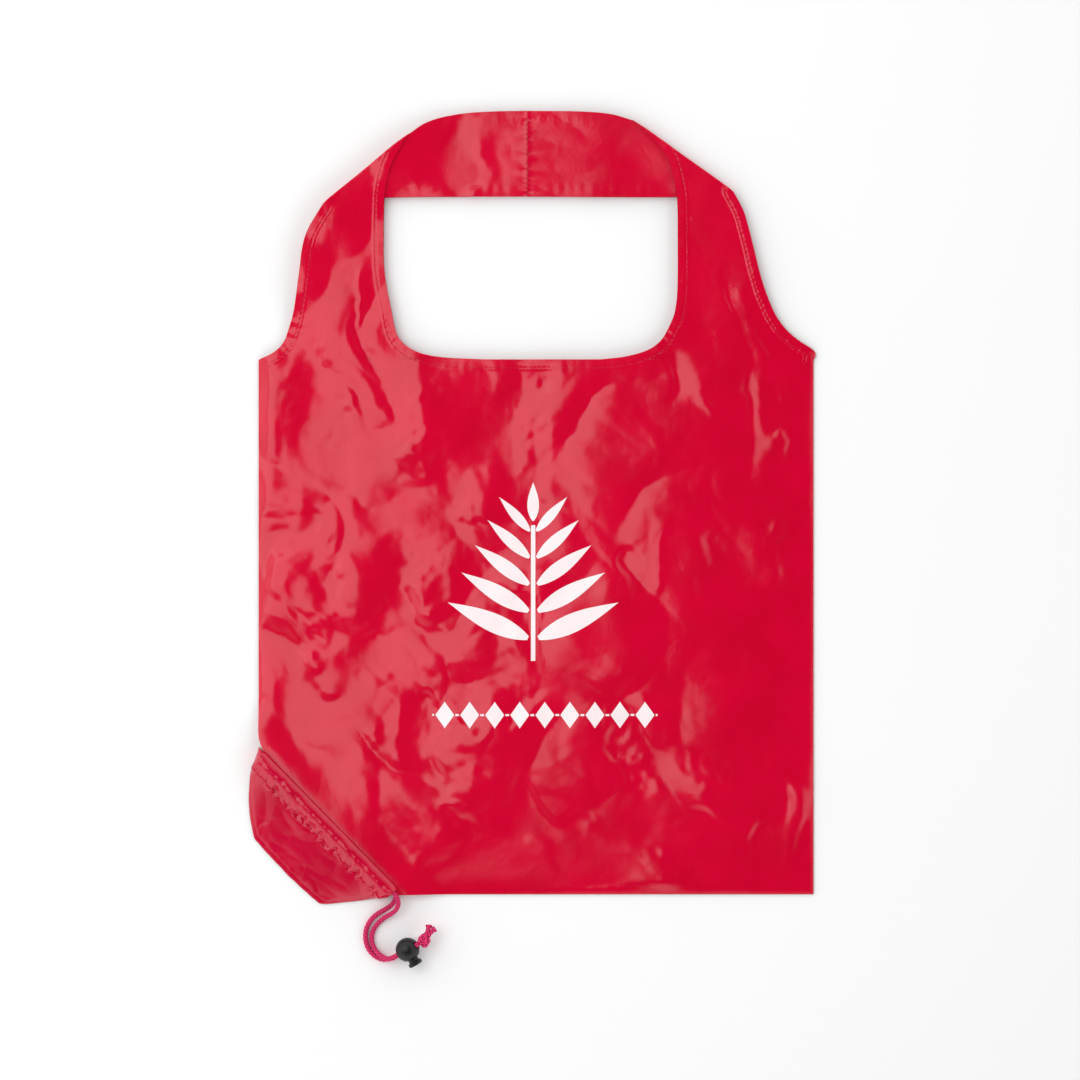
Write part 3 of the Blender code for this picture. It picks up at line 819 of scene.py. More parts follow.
def body_panel(side, spacing):
    columns = spaced(-HALF_WIDTH, HALF_WIDTH, spacing)
    rows = spaced(0, SHOULDER_Y, spacing)
    low = bottom_of_body(columns)
    x = np.repeat(columns[None, :], len(rows), axis=0)
    y = SHOULDER_Y - (SHOULDER_Y - rows[:, None]) * (1 - low[None, :] / SHOULDER_Y)
    z = HEIGHT[side](x, y)
    points = np.stack([pinched(x, y), y, z], axis=-1)
    normals = grid_normals(points)
    normals[-1] = height_normals(HEIGHT[side], x[-1], y[-1])
    if side == "back":
        points = points - np.array([0, 0, CLOTH])
        mesh = sheet_mesh(side + "_panel", [(points[:, ::-1], -normals[:, ::-1])])
    else:
        mesh = sheet_mesh(side + "_panel", [(points, normals)])
    return link(side + "_panel", mesh, red_cloth)


def across_strap(width, coarse_count):
    """Shares across a strap, close together within its hems."""
    fine = np.array(FINE_STEPS) / width
    middle = np.linspace(fine[-1], 1 - fine[-1], coarse_count + 1)[1:-1]
    return np.concatenate([fine, middle, (1 - fine)[::-1]])


def strap_rows(side):
    """Pairs of points (armhole edge, neckline edge) up the upright strap."""
    arm = ARMHOLE_CURVE[side]
    neck = LEFT_NECK_CURVE if side == "left" else RIGHT_NECK_CURVE
    heights = np.concatenate([
        np.arange(SHOULDER_Y, 374, 0.5), np.arange(374, 385, 0.8), np.arange(385, 400, 1.2)
    ])
    pairs = []
    for y in heights:
        pairs.append(([np.interp(y, arm[:, 1], arm[:, 0]), y], [np.interp(y, neck[:, 1], neck[:, 0]), y]))
    upper = []
    for curve in (arm, neck):
        x = np.interp(STRAIGHT_ROWS_Y, curve[:, 1], curve[:, 0])
        upper.append(np.vstack([[x, STRAIGHT_ROWS_Y], curve[curve[:, 1] > STRAIGHT_ROWS_Y + 0.1]]))
    shares = np.linspace(0, 1, 96)
    outer, inner = at_shares(upper[0], shares), at_shares(upper[1], shares)
    pairs += list(zip(outer.tolist(), inner.tolist()))
    return np.array(pairs)


def past_fold(side, x, y):
    """Distance beyond the diagonal fold of a strap, below 0 on the strap itself."""
    (x0, y0), (x1, y1) = BAND_BOTTOM[side][0], BAND_TOP[side][0]
    beyond = ((x1 - x0) * (y - y0) - (y1 - y0) * (x - x0)) / math.hypot(x1 - x0, y1 - y0)
    return beyond if side == "left" else -beyond


def strap(face, side):
    """One strap: upright from the shoulder, folded over behind itself, then across as the band."""
    upright = strap_rows(side)
    count = 62
    wide = np.linalg.norm(upright[:, 0] - upright[:, 1], axis=1)
    x, y = [], []
    for pair, width in zip(upright, wide):
        share = across_strap(width, count)
        row = pair[0] + (pair[1] - pair[0]) * share[:, None]
        x.append(row[:, 0])
        y.append(row[:, 1])
    x, y = np.array(x), np.array(y)
    z = HEIGHT[face](x, y)
    up = np.stack([x, y, z], axis=-1)

    # The band behind the strap, from the fold to the seam at its middle
    shares = np.linspace(0, 1, 90)
    bottom, top = at_shares(BOTTOM_CURVE[side], shares), at_shares(TOP_CURVE[side], shares)
    across = across_strap(wide[-1], count)
    band = bottom[:, None, :] + (top - bottom)[:, None, :] * across[None, :, None]
    bx, by = band[..., 0], band[..., 1]
    seed = {"front": 400, "back": 430}[face]
    calm = 0.28 * ripples(bx * 0.7, by, seed, 62) + 0.16 * (np.abs(ripples(bx * 0.6, by, seed + 1, 34)) - 0.8)
    calm += tilted_patches(bx, by, 190)
    calm += creases(bx, by, seed + 2, 26, (-140, 130, 478, 534), (0, 3.1), (6, 22), (0.03, 0.08), (1, 2.4))
    near_seam = np.abs(bx - HANDLE_SEAM_X)
    gather = 0.26 * edge_ripples(by, seed + 3, 7) * np.exp(-near_seam / 5)
    gather += 0.4 * bell(near_seam, 1.4) * stitch_pull(by)
    hems = 0
    for number, curve in enumerate((BOTTOM_CURVE[side], TOP_CURVE[side])):
        distance, along = nearest(bx, by, curve)
        hems = hems + hem_relief(distance, along, seed + 5 + number) * (0.8, 0.35)[number]
    bz = BAND_Z[face] + calm + gather + hems
    if face == "front":
        bz = soft_floor(bz, *FRONT_BAND_FLOOR)
        fold_gap = -FOLD_GAP
    else:
        bz = soft_ceiling(bz, *BACK_BAND_CEILING)
        fold_gap = FOLD_GAP
    near_fold = 1 - step(-past_fold(side, bx, by), 0, FOLD_SPREAD[side])
    under_strap = HEIGHT[face](bx, by) - edge_hems(bx, by, HEM_SEED[face]) + fold_gap
    bz = bz + (under_strap - bz) * near_fold

    fold_top, fold_band = up[-1], np.stack([bx[0], by[0], bz[0]], axis=-1)
    run = fold_top[-1, :2] - fold_top[0, :2]
    out = np.array([-run[1], run[0]]) / np.linalg.norm(run)
    if out[1] < 0:
        out = -out
    turns = np.linspace(0, math.pi, 10)[1:-1]
    bend = []
    radius = (fold_top[:, 2] - fold_band[:, 2]) / 2
    middle = (fold_top + fold_band) / 2
    end_taper = 1 - np.abs(2 * across - 1) ** 8
    for turn in turns:
        row = middle.copy()
        row[:, 2] += radius * math.cos(turn)
        row[:, :2] += out * (np.abs(radius) * end_taper)[:, None] * math.sin(turn)
        bend.append(row)
    points = np.concatenate([up, bend, np.stack([bx, by, bz], axis=-1)])
    if side == "right":
        points = points[:, ::-1]
    normals = grid_normals(points)
    low = np.count_nonzero(up[:, 0, 1] < STRAIGHT_ROWS_Y)
    normals[:low] = height_normals(HEIGHT[face], points[:low, :, 0], points[:low, :, 1])
    name = f"{face}_strap_{side}_cloth"
    if face == "back":
        points = points - normals * CLOTH
        points, normals = points[:, ::-1], -normals[:, ::-1]
    return link(name, sheet_mesh(name, [(points, normals)]), red_cloth)


def enclosed_area(outline):
    """Area inside a closed outline in the plan."""
    x, y = np.asarray(outline, float).T
    return abs(np.dot(x, np.roll(y, -1)) - np.dot(y, np.roll(x, -1))) / 2


def strap_cut(side):
    """Flat size and area that a strap was cut to, with its band turned back over the fold."""
    neck = LEFT_NECK_CURVE if side == "left" else RIGHT_NECK_CURVE
    upright = np.concatenate([ARMHOLE_CURVE[side], neck[::-1]])
    band = np.concatenate([BOTTOM_CURVE[side], TOP_CURVE[side][::-1]])
    fold_start = BOTTOM_CURVE[side][0]
    fold = TOP_CURVE[side][0] - fold_start
    fold /= np.linalg.norm(fold)
    offset = band - fold_start
    turned_back = fold_start + 2 * (offset @ fold)[:, None] * fold - offset
    size = np.ptp(np.concatenate([upright, turned_back]), axis=0)
    return size * MM, (enclosed_area(upright) + enclosed_area(band)) * MM * MM


def bend_at_handle(piece):
    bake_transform(piece)


def bend_at_fold(piece):
    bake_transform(piece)


front_panel = body_panel("front", BODY_STEP)
back_panel = body_panel("back", BACK_STEP)
for panel in (front_panel, back_panel):
    bend_at_fold(panel)
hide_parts("front_panel_upper", "front_panel_lower", "left_seam_upper", "right_seam_upper",
            "left_seam_lower", "right_seam_lower", "bottom_seam")
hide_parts("back_panel_upper", "back_panel_lower")

for face in ("front", "back"):
    for side in ("left", "right"):
        strip = strap(face, side)
        bend_at_handle(strip)
        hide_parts(f"{face}_strap_{side}")
        size, area = strap_cut(side)


# ---------------------------------------------------------------- stitches


def stitch_mesh(name, spots):
    """Threads of (middle, direction, length, radius) as closed beads, joined in one mesh."""
    profile = [(-0.5, 0.25), (-0.42, 0.8), (-0.15, 1), (0.15, 1), (0.42, 0.8), (0.5, 0.25)]
    sides = 6
    places, faces = [], []
    for middle, direction, length, radius in spots:
        direction = direction / np.linalg.norm(direction)
        side = np.cross(direction, (0, 0, 1))
        side /= np.linalg.norm(side)
        up = np.cross(side, direction)
        start = len(places)
        for along, wide in profile:
            for k in range(sides):
                turn = 2 * math.pi * k / sides
                places.append(
                    middle
                    + direction * along * length
                    + (side * math.cos(turn) + up * math.sin(turn)) * wide * radius
                )
        for ring in range(len(profile) - 1):
            for k in range(sides):
                a = start + ring * sides + k
                b = start + ring * sides + (k + 1) % sides
                faces.append((a, a + sides, b + sides, b))
        last = start + (len(profile) - 1) * sides
        faces.append(tuple(range(start, start + sides)))
        faces.append(tuple(range(last + sides - 1, last - 1, -1)))
    mesh = bpy.data.meshes.new(name)
    mesh.from_pydata(world(places).tolist(), [], faces)
    mesh.shade_smooth()
    return mesh


def inset_line(curve, inset, toward):
    """The curve moved sideways by inset, to its left (1) or right (-1)."""
    tangent = np.gradient(curve, axis=0)
    tangent /= np.linalg.norm(tangent, axis=1, keepdims=True)
    return curve + toward * inset * np.stack([-tangent[:, 1], tangent[:, 0]], axis=1)


def stitch_spots(line, height, rng, raised, start, end):
    """Stitches along a plan line that lie on the cloth of a height."""
    along = lengths_along(line)
    count = int(along[-1] / STITCH_PITCH)
    spots = []
    for k in range(count):
        share = (k + 0.5) / count
        if not start <= share <= end:
            continue
        ends = at_shares(line, [share - 0.3 / count, share + 0.3 / count])
        side = "left" if ends[0, 0] < 0 else "right"
        if past_fold(side, *ends[1]) > -1.5:
            continue
        z = height(ends[:, 0], ends[:, 1]) + raised
        a, b = np.append(ends[0], z[0]), np.append(ends[1], z[1])
        spots.append(((a + b) / 2, b - a, 2.1 + rng.uniform(-0.2, 0.2), 0.19))
    return spots


for face in ("front", "back"):
    rng = np.random.default_rng(500)
    lines = [
        inset_line(NECK_CURVE, STITCH_INSET, -1),
        inset_line(ARMHOLE_CURVE["left"], STITCH_INSET, -1),
        inset_line(ARMHOLE_CURVE["right"], STITCH_INSET, 1),
    ]
    spots = []
    for line in lines:
        below = 0 if face == "front" else -CLOTH - 0.04
        spots += stitch_spots(line, HEIGHT[face], rng, raised=0.03 + below, start=0.02, end=0.97)
    name = face + "_hem_stitches"
    stitches = link(name, stitch_mesh(name, spots), thread)
    bend_at_handle(stitches)


# ---------------------------------------------------------------- pouch


POUCH_DEPTH = [
    (-3.6, 1.0), (0.5, 8.0), (4, 15.9), (16.7, 30.1), (27.6, 39), (37, 45.2), (42.9, 46.4),
    (65, 47.2), (80.7, 46.9), (97, 45.8), (105, 42.4), (123.9, 18.5), (131, 9.0),
]
FRONT_ROLL = [
    (11.0, 7.75), (6.0, 7.8), (1.5, 7.9), (-0.5, 8.3), (-1.2, 9.2), (-0.6, 10.6), (1.2, 12.0),
    (3.4, 12.85), (5.6, 12.95), (7.7, 12.2), (9.6, 10.8), (11.0, 9.4), (11.9, 8.75), (13.2, 8.6),
]
BACK_ROLL = [
    (11.3, 0.80), (9.4, 1.9), (7.6, 3.4), (5.6, 4.6), (3.6, 5.15), (1.6, 4.9), (-0.1, 3.9),
    (-0.8, 2.5), (-0.3, 1.1), (1.5, 0.35), (6.0, 0.22), (11.0, 0.2), (12.2, 0.2), (13.2, 0.2),
]
POUCH_RIM_Z = {"front": 0.95, "back": 0.3}
# Pleats across the channel, each (place along the mouth, width, depth)
POUCH_PLEATS = ((44, 1.6, 1.3), (71, 2.0, 1.7), (95, 1.5, 1.2), (22, 1.4, 0.8))
INSIDE_ROWS = 12


def pouch_face(face):
    """Sleeve cloth from inside the mouth, round the cord's channel and down to the outer seam."""
    roll = smooth_route(FRONT_ROLL if face == "front" else BACK_ROLL, 3)
    depth_line = smooth_route(POUCH_DEPTH, 6)
    u = np.concatenate([
        np.linspace(-3.6, 8, 22)[:-1], np.linspace(8, 122, 170)[:-1], np.linspace(122, 131, 16)
    ])
    depth = np.interp(u, depth_line[:, 0], depth_line[:, 1])
    sheet_rows = 44
    shares = np.linspace(0, 1, sheet_rows + 1)[1:]
    squeeze = np.clip((depth - 0.6) / 13.2, 0.05, 1)
    roll_d = roll[:, 0][:, None] * np.where(squeeze < 1, squeeze, 1)[None, :]
    last = roll_d[-1]
    sheet_d = last[None, :] + (depth - last)[None, :] * shares[:, None]
    d = np.concatenate([roll_d, sheet_d])
    uu = np.repeat(u[None, :], len(d), axis=0)

    # Rounding of the mouth's upper end, where the channel turns round the bag's edge
    dome = np.sqrt(np.clip(1 - (np.clip(4 - u, 0, None) / 7.7) ** 2, 0, 1))
    rim = POUCH_RIM_Z[face]
    if face == "front":
        roll_z = rim + (roll[:, 1][:, None] - rim) * dome[None, :]
        top = roll_z[-1]
        fall = 1 - 0.93 * shares - 0.07 * shares**8
        sheet_z = rim + (top - rim)[None, :] * fall[:, None]
    else:
        roll_z = rim - 0.1 + (roll[:, 1][:, None] - rim + 0.1) * dome[None, :]
        sheet_z = np.repeat(np.full((1, len(u)), 0.2), sheet_rows, axis=0)
    z = np.concatenate([roll_z, sheet_z])

    # Gathers on the channel, puckers at its stitch line and at the outer seam, folds between
    n_roll = len(roll)
    size = np.clip(depth / 30, 0, 1)[None, :]
    rows = np.arange(len(d))[:, None]
    gather = ripples(uu, 0.25 * d, 600, 15) + 0.4 * ripples(uu, 0.4 * d, 601, 5.5)
    from_stitch = d - 11.8 * squeeze[None, :]
    jagged = bell(from_stitch, 3.2)
    on_outside = rows > INSIDE_ROWS
    if face == "front":
        on_roll = on_outside & (rows < n_roll)
        z = z + np.where(on_roll, 0.20 * gather * np.clip((d + 1) / 6, 0, 1), 0) * dome[None, :]
        z = z + np.where(on_outside, 0.10 * edge_ripples(uu, 602, 5.2) * jagged, 0) * size
        for place, wide, deep in POUCH_PLEATS:
            across = (uu - place - 0.5 * (d - 6)) / wide
            off_ridge = np.clip((d - 5.5) / 4, 0, 1)
            z = z - np.where(on_outside & (d < 15), deep * np.exp(-(across**2)), 0) * 0.5 * off_ridge
        folds = 0.45 * (np.abs(ripples(uu, d * 1.2, 603, 52)) - 0.8)
        folds = folds + 0.10 * (np.abs(ripples(uu, d * 1.2, 604, 24)) - 0.8)
        folds += creases(uu, d, 605, 22, (5, 120, 14, 46), (0, 3.1), (6, 26), (0.08, 0.22), (1.0, 2.6))
        inside = step(d, 12.5, 17) * step(depth[None, :] - d, 0, 7)
        z = z + folds * inside * size
        to_edge = depth[None, :] - d
        z = z + 0.10 * edge_ripples(uu, 606, 7.5) * np.exp(-((to_edge - 3.2) / 2.6) ** 2) * size
        z = z - 0.22 * np.exp(-((to_edge - 2.8) / 0.8) ** 2) * size * (rows >= n_roll)
        d = d + np.where(on_outside, 0.75 * edge_ripples(uu, 607, 6.0) * jagged, 0) * size
    edge_wave = 0.10 * edge_ripples(uu, 608, 13) * step(rows, n_roll, len(d)) * size
    d = d + edge_wave
    x = MOUTH_START[0] + uu * MOUTH_ALONG[0] - d * MOUTH_INTO_BAG[0]
    y = MOUTH_START[1] + uu * MOUTH_ALONG[1] - d * MOUTH_INTO_BAG[1]
    points = np.stack([x, y, z], axis=-1)
    if face == "back":
        points[..., 2] = np.maximum(points[..., 2], 0.02)
    name = f"pouch_{face}_cloth"
    facing = grid_normals(points)
    if face == "front":
        points, facing = points[::-1], -facing[::-1]
    mesh = sheet_mesh(name, [(points, facing)])
    return link(name, mesh, pouch_cloth)


for face in ("front", "back"):
    piece = pouch_face(face)
    extra = ["pouch_seam"] if face == "front" else []
    declare(piece, "lower", "channel_polyester", "pouch_" + face, face + "_channel", *extra)


# ---------------------------------------------------------------- drawcord


def along_mouth(u, v, z):
    place = MOUTH_START + u * MOUTH_ALONG + v * MOUTH_INTO_BAG
    return np.array([place[0], place[1], z])


LOCK_AXES = np.array(Matrix.Rotation(LOCK_TURN, 3, "Z") @ Matrix.Rotation(-LOCK_TILT, 3, "Y"))


def lock_point(x, y, z):
    return LOCK_CENTRE + LOCK_AXES @ np.array([x, y, z])


def braid_relief(turn, along):
    """Chevrons of an eight-strand braid."""
    lay = 2 * math.pi * along / BRAID_LAY
    proud = max(math.cos(4 * turn + 2 * lay), math.cos(4 * turn - 2 * lay))
    return 0.98 + 0.09 * proud


def even(route, spacing):
    count = max(2, round(lengths_along(route)[-1] / spacing))
    return at_shares(route, np.linspace(0, 1, count + 1))


def braided(name, routes, sides):
    """A piece of cord from routes (points, radii)."""
    return link(name, tube_mesh(name, routes, sides, braid_relief), braid)


def round_cord(curve, radius=CORD_RADIUS):
    return curve, np.full(len(curve), radius)


def strand(side, route, sign):
    reach, inside = STRAIGHT_CORD
    offset = sign * STRAND_SPACING
    start = along_mouth(CHANNEL_ENDS[1], CHANNEL_V, CHANNEL_Z[side])
    straight = [lock_point(s, 0, offset) for s in (-inside, -inside + 3)]
    curve = smooth_route([start, *route, *straight], 12)
    curve = even(np.vstack([curve, lock_point(reach + 0.8, 0, offset)]), 0.28)
    return braided(f"drawcord_{side}_braid", [round_cord(curve)], 20), curve


def knot_route():
    """A tight overhand knot on the lock's axis."""
    route = []
    centre = lock_point(KNOT_DISTANCE, 0, 0)
    for k in range(120):
        t = 2 * math.pi * k / 120
        local = np.array([
            1.6 * math.sin(3 * t),
            0.97 * (math.sin(t) + 2 * math.sin(2 * t)),
            0.97 * (math.cos(t) - 2 * math.cos(2 * t)),
        ])
        route.append(centre + LOCK_AXES @ local)
    route.append(route[0])
    return np.array(route)


knot_curve = even(knot_route(), 0.3)
knot = braided("drawcord_knot_loops", [round_cord(knot_curve, KNOT_CORD_RADIUS)], 18)
declare(knot, "lower", "pink_cord", "drawcord_knot")

away = np.array(TAIL_DIRECTION)
away /= np.linalg.norm(away)
tail_start = lock_point(KNOT_DISTANCE, 0, 0) + away * 3.4
sideways = np.cross(away, (0, 0, 1))
sideways /= np.linalg.norm(sideways)
tails = []
for sign in (-1, 1):
    reach = np.linspace(0, TAIL_LENGTH, 26)[:, None]
    spread = 1.0 + 0.0125 * reach**2.4
    points = even(tail_start + away * reach + sideways * sign * spread, 0.28)
    tails.append((points, 1.5 + 0.7 * step(np.linspace(0, 1, len(points)), 0.5, 1.0)))
ends = braided("drawcord_cut_ends", tails, 18)
declare(ends, "lower", "pink_cord", "drawcord_ends")

turn_radius = (CHANNEL_Z["front"] - CHANNEL_Z["back"]) / 2
inner_cord = [along_mouth(CHANNEL_ENDS[1] - 0.3, CHANNEL_V, CHANNEL_Z["front"])]
for k in range(25):
    angle = math.pi / 2 + math.pi * k / 24
    inner_cord.append(along_mouth(
        CHANNEL_ENDS[0] + turn_radius * math.cos(angle), CHANNEL_V,
        CHANNEL_Z["back"] + turn_radius + turn_radius * math.sin(angle)))
inner_cord.append(along_mouth(CHANNEL_ENDS[1] - 0.3, CHANNEL_V, CHANNEL_Z["back"]))
inner_cord = even(np.array(inner_cord), 0.6)
hidden_cord = braided("drawcord_in_pouch", [round_cord(inner_cord)], 12)
declare(hidden_cord, "lower", "pink_cord", "drawcord_in_channel")


# ---------------------------------------------------------------- cord lock


LOCK_PLACE = Matrix.Translation(Vector(world(LOCK_CENTRE))) @ Matrix(LOCK_AXES.tolist()).to_4x4()


def turned_mesh(name, profile, steps=64):
    """A closed turned piece about local -Y from (radius, reach) corners, axis to axis."""
    shape = bmesh.new()
    rings = []
    for radius, reach in profile:
        if radius < 1e-6:
            rings.append([shape.verts.new((0, -reach * MM, 0))])
            continue
        rings.append([
            shape.verts.new((
                radius * math.cos(2 * math.pi * k / steps) * MM,
                -reach * MM,
                radius * math.sin(2 * math.pi * k / steps) * MM,
            ))
            for k in range(steps)
        ])
    for a, b in zip(rings, rings[1:]):
        for k in range(steps):
            n = (k + 1) % steps
            if len(a) == 1:
                shape.faces.new((a[0], b[k], b[n]))
            elif len(b) == 1:
                shape.faces.new((a[n], a[k], b[0]))
            else:
                shape.faces.new((a[n], a[k], b[k], b[n]))
    bmesh.ops.recalc_face_normals(shape, faces=shape.faces[:])
    mesh = bpy.data.meshes.new(name)
    shape.to_mesh(mesh)
    shape.free()
    return mesh


def box_mesh(name, size, centre):
    shape = bmesh.new()
    bmesh.ops.create_cube(shape, size=1.0)
    bmesh.ops.scale(shape, vec=Vector(size) * MM, verts=shape.verts)
    bmesh.ops.translate(shape, vec=Vector(centre) * MM, verts=shape.verts)
    mesh = bpy.data.meshes.new(name)
    shape.to_mesh(mesh)
    shape.free()
    return mesh


def carved(name, mesh, cutters, bevel):
    """The mesh cut by the cutters, with its new edges softened, in place at the lock."""
    piece = link(name, mesh, plastic)
    tools = []
    for number, cutter in enumerate(cutters):
        tool = link(f"{name}_cutter_{number}", cutter)
        tools.append(tool)
        boolean = piece.modifiers.new("cut", "BOOLEAN")
        boolean.operation = "DIFFERENCE"
        boolean.solver = "EXACT"
        boolean.object = tool
    soft = piece.modifiers.new("edges", "BEVEL")
    soft.width = bevel * MM
    soft.segments = 2
    soft.limit_method = "ANGLE"
    soft.angle_limit = math.radians(40)
    bpy.context.view_layer.update()
    evaluated = piece.evaluated_get(bpy.context.evaluated_depsgraph_get())
    final = bpy.data.meshes.new_from_object(evaluated)
    piece.modifiers.clear()
    piece.data = final
    for tool in tools:
        bpy.data.objects.remove(tool)
    final.shade_smooth()
    final.set_sharp_from_angle(angle=math.radians(35))
    final.transform(LOCK_PLACE)
    return piece


def ball_profile():
    """Half a circle from pole to pole, with a fine parting groove round the middle."""
    profile = []
    for k in range(49):
        angle = math.pi * k / 48
        radius = LOCK_RADIUS - 0.10 * math.exp(-(((angle - math.pi / 2) / 0.02) ** 2))
        profile.append((radius * math.sin(angle) if 0 < k < 48 else 0, radius * math.cos(angle)))
    return profile


bore = turned_mesh("bore_tool", [(0, 20), (BORE_RADIUS, 20), (BORE_RADIUS, -BORE_DEPTH), (0, -BORE_DEPTH)])
slot_tool = box_mesh("slot_tool", (30.0, *LOCK_SLOT), (0, 0, 0))
ball = carved("lock_ball_body", turned_mesh("lock_ball_body", ball_profile(), 72), [slot_tool, bore], 0.25)
declare(ball, "cord_lock", "black_plastic", "lock_ball")

plunger_profile = [
    (0, CAP_SPAN[1] - 0.25), (2.2, CAP_SPAN[1] - 0.2), (2.6, CAP_SPAN[1]), (CAP_RADIUS - 0.7, CAP_SPAN[1]),
    (CAP_RADIUS - 0.2, CAP_SPAN[1] - 0.2), (CAP_RADIUS, CAP_SPAN[1] - 0.7), (CAP_RADIUS, CAP_SPAN[0] + 0.3),
    (CAP_RADIUS - 0.3, CAP_SPAN[0]), (NECK_RADIUS + 0.4, CAP_SPAN[0]), (NECK_RADIUS, CAP_SPAN[0] - 0.4),
    (NECK_RADIUS, PISTON_FRONT), (PISTON_RADIUS, PISTON_FRONT), (PISTON_RADIUS, -PISTON_BACK),
    (0, -PISTON_BACK),
]
slot_size = PISTON_SLOT[1] - PISTON_SLOT[0]
slot_middle = (0, -(PISTON_SLOT[0] + PISTON_SLOT[1]) / 2, 0)
plunger_slot = box_mesh("plunger_slot_tool", (30.0, slot_size, LOCK_SLOT[1]), slot_middle)
plunger = carved("lock_plunger_cap", turned_mesh("lock_plunger_cap", plunger_profile), [plunger_slot], 0.15)
declare(plunger, "plunger", "black_plastic", "lock_plunger")

spring_start = PISTON_BACK + 0.3 + SPRING_WIRE / 2
spring_end = BORE_DEPTH - 0.3 - SPRING_WIRE / 2
coil = []
for k in range(121):
    angle = 2 * math.pi * SPRING_TURNS * k / 120
    reach = spring_start + (spring_end - spring_start) * k / 120
    coil.append(lock_point(SPRING_RADIUS * math.cos(angle), reach, SPRING_RADIUS * math.sin(angle)))
spring = link("lock_spring_coil", tube_mesh(
    "lock_spring_coil", [(np.array(coil), np.full(len(coil), SPRING_WIRE / 2))], 10), steel)
declare(spring, "cord_lock", "spring_steel", "lock_spring")
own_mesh(spring)

for side, route, sign in (("front", FRONT_STRAND_ROUTE, 1), ("back", BACK_STRAND_ROUTE, -1)):
    piece, curve = strand(side, route, sign)
    declare(piece, "lower", "pink_cord", f"drawcord_{side}_strand")


# ---------------------------------------------------------------- prints


def ink_patch(outline_at, rows, columns):
    """A thin printed patch on the front: outline_at(row share, column share) gives its plan points."""
    t, w = np.meshgrid(np.linspace(0, 1, rows), np.linspace(0, 1, columns), indexing="ij")
    x, y = outline_at(t, w)
    z = front_height(x, y) + INK_RAISED
    points = np.stack([x, y, z], axis=-1)
    normals = grid_normals(points)
    if normals[..., 2].mean() < 0:
        points, normals = points[:, ::-1], -normals[:, ::-1]
    return points, normals


def leaf(root, angle, length, width, start=0.0):
    forward = (math.cos(angle), math.sin(angle))
    side = (-forward[1], forward[0])

    def place(t, w):
        t = start + (1 - start) * t
        half = np.maximum(np.sin(math.pi * np.clip(t, 0, 1) ** 0.8) * width / 2, 0.12)
        reach = t * length
        across = (2 * w - 1) * half
        return (root[0] + forward[0] * reach + side[0] * across,
                root[1] + forward[1] * reach + side[1] * across)

    return ink_patch(place, max(12, round(length / 1.3)), 10)


def bar(low, high):
    def place(t, w):
        return low[0] + (high[0] - low[0]) * w, low[1] + (high[1] - low[1]) * t

    rows = max(3, round((high[1] - low[1]) / 1.3))
    columns = max(3, round((high[0] - low[0]) / 1.3))
    return ink_patch(place, rows, columns)


def sprig():
    base, tip, stem = (-2.0, 160.0), (-2.0, 282.0), 3.0
    tall = tip[1] - base[1]
    patches = [bar((base[0] - stem / 2, base[1]), (base[0] + stem / 2, base[1] + 0.76 * tall))]
    for k in range(5):
        height = base[1] + tall * (0.12 + 0.6 * k / 4)
        size = 1 - 0.12 * k
        slant = math.radians(24 + 6 * k)
        for sign in (1, -1):
            angle = slant if sign == 1 else math.pi - slant
            root = (base[0] + sign * stem / 2, height)
            patches.append(leaf(root, angle, 62 * size, 13 * size, 0.035))
    patches.append(leaf((base[0], base[1] + 0.78 * tall), math.pi / 2, 0.22 * tall, 8.0, 0.02))
    return patches


def lozenge(centre, half, tall):
    def place(t, w):
        width = half * (1 - np.abs(2 * t - 1))
        return centre[0] + (2 * w - 1) * np.maximum(width, 0.1), centre[1] + (2 * t - 1) * tall

    return ink_patch(place, 17, 9)


def print_row():
    left, right, middle, count = -71.0, 83.0, 123.0, 9
    pitch = (right - left) / count
    patches = []
    for k in range(count):
        centre = left + pitch * (k + 0.5)
        patches.append(lozenge((centre, middle), pitch * 0.38, 9.0))
    for k in range(count + 1):
        low = left + pitch * (k - 0.5) + pitch * 0.38 + 0.8
        high = left + pitch * (k + 0.5) - pitch * 0.38 - 0.8
        low, high = max(low, left), min(high, right)
        patches.append(bar((low, middle - 0.7), (high, middle + 0.7)))
    return patches


for name, patches, body in (("printed_sprig", sprig(), "upper"), ("printed_row", print_row(), "lower")):
    printed = link(name + "_ink", sheet_mesh(name + "_ink", patches, INK), ink)
    declare(printed, body, "white_ink", name)


# ---------------------------------------------------------------- handle seams


# From the band's lower edge to its upper edge
HANDLE_SEAM_STITCHES = np.linspace(478.2, 535.2, 34)

for face in ("front", "back"):
    rng = np.random.default_rng(700)
    spots = []
    for k, y in enumerate(HANDLE_SEAM_STITCHES):
        slant = 1 if k % 2 else -1
        z = BAND_Z[face] + 0.62
        middle = np.array([HANDLE_SEAM_X + 0.2 * slant, y, z])
        direction = np.array([0.9 * slant, 1.0, 0.0])
        spots.append((middle, direction, 2.2 + rng.uniform(-0.2, 0.2), 0.2))
    name = face + "_handle_seam_stitches"
    seam = link(name, stitch_mesh(name, spots), thread)
    declare(seam, face + "_handle", "red_polyester", face + "_handle_seam")


# ---------------------------------------------------------------- floor, light and camera


floor = link("floor", box_mesh("floor", (14000, 14000, 4), (0, 0, -2.05)), floor_material())

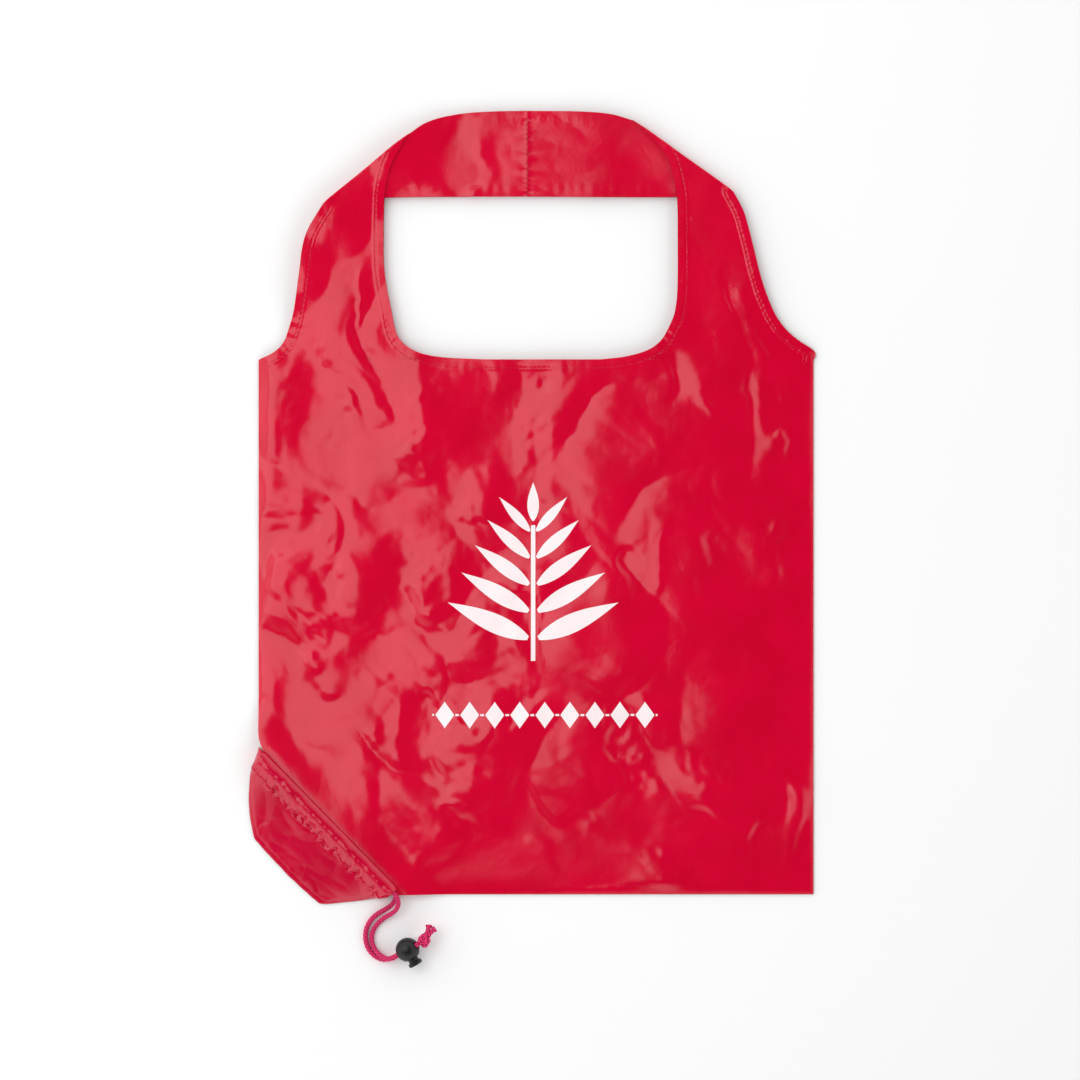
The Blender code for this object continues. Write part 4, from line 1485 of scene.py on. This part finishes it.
SOFTBOX = {"x": (-2.3, -0.08), "y": (-0.55, 1.7), "z": 2.15, "radiance": 2.0}
wide = SOFTBOX["x"][1] - SOFTBOX["x"][0]
deep = SOFTBOX["y"][1] - SOFTBOX["y"][0]
lamp = bpy.data.lights.new("softbox", "AREA")
lamp.shape = "RECTANGLE"
lamp.size = wide
lamp.size_y = deep
lamp.energy = SOFTBOX["radiance"] * math.pi * wide * deep
softbox = bpy.data.objects.new("softbox", lamp)
softbox.location = (sum(SOFTBOX["x"]) / 2, sum(SOFTBOX["y"]) / 2, SOFTBOX["z"])
bpy.context.scene.collection.objects.link(softbox)

# Grey of the studio by direction, from level or below (0) to straight up (1)
STUDIO_LEVELS = ((0.0, 1.0), (0.5, 0.95), (0.72, 0.5), (0.86, 0.04), (1.0, 0.01))
STUDIO_STRENGTH = 1.52
studio = bpy.data.worlds.new("studio")
studio.use_nodes = True
bpy.context.scene.world = studio
tree = studio.node_tree
direction = tree.nodes.new("ShaderNodeTexCoord").outputs["Generated"]
split = tree.nodes.new("ShaderNodeSeparateXYZ")
tree.links.new(direction, split.inputs["Vector"])
ramp = tree.nodes.new("ShaderNodeValToRGB")
for number, (place, level) in enumerate(STUDIO_LEVELS):
    if number < 2:
        stop = ramp.color_ramp.elements[number]
        stop.position = place
    else:
        stop = ramp.color_ramp.elements.new(place)
    stop.color = (level, level, level, 1)
tree.links.new(split.outputs["Z"], ramp.inputs["Fac"])
tree.links.new(ramp.outputs["Color"], tree.nodes["Background"].inputs["Color"])
tree.nodes["Background"].inputs["Strength"].default_value = STUDIO_STRENGTH

# Straight down, with the picture's width in metres on a plane just above the floor
CAMERA_LENS = 100
SENSOR_WIDTH = 36
PICTURE_WIDTH = 0.7382
PICTURE_PLANE = 0.005
CAMERA_AIM = (0.0027, 0.2426)
camera_data = bpy.data.cameras.new("camera")
camera_data.lens = CAMERA_LENS
camera_data.sensor_width = SENSOR_WIDTH
camera = bpy.data.objects.new("camera", camera_data)
camera_height = PICTURE_WIDTH * CAMERA_LENS / SENSOR_WIDTH + PICTURE_PLANE
camera.location = (MID_X + CAMERA_AIM[0], BOTTOM_Y + CAMERA_AIM[1], camera_height)
bpy.context.scene.collection.objects.link(camera)
bpy.context.scene.camera = camera
bpy.context.scene.view_settings.view_transform = "Standard"
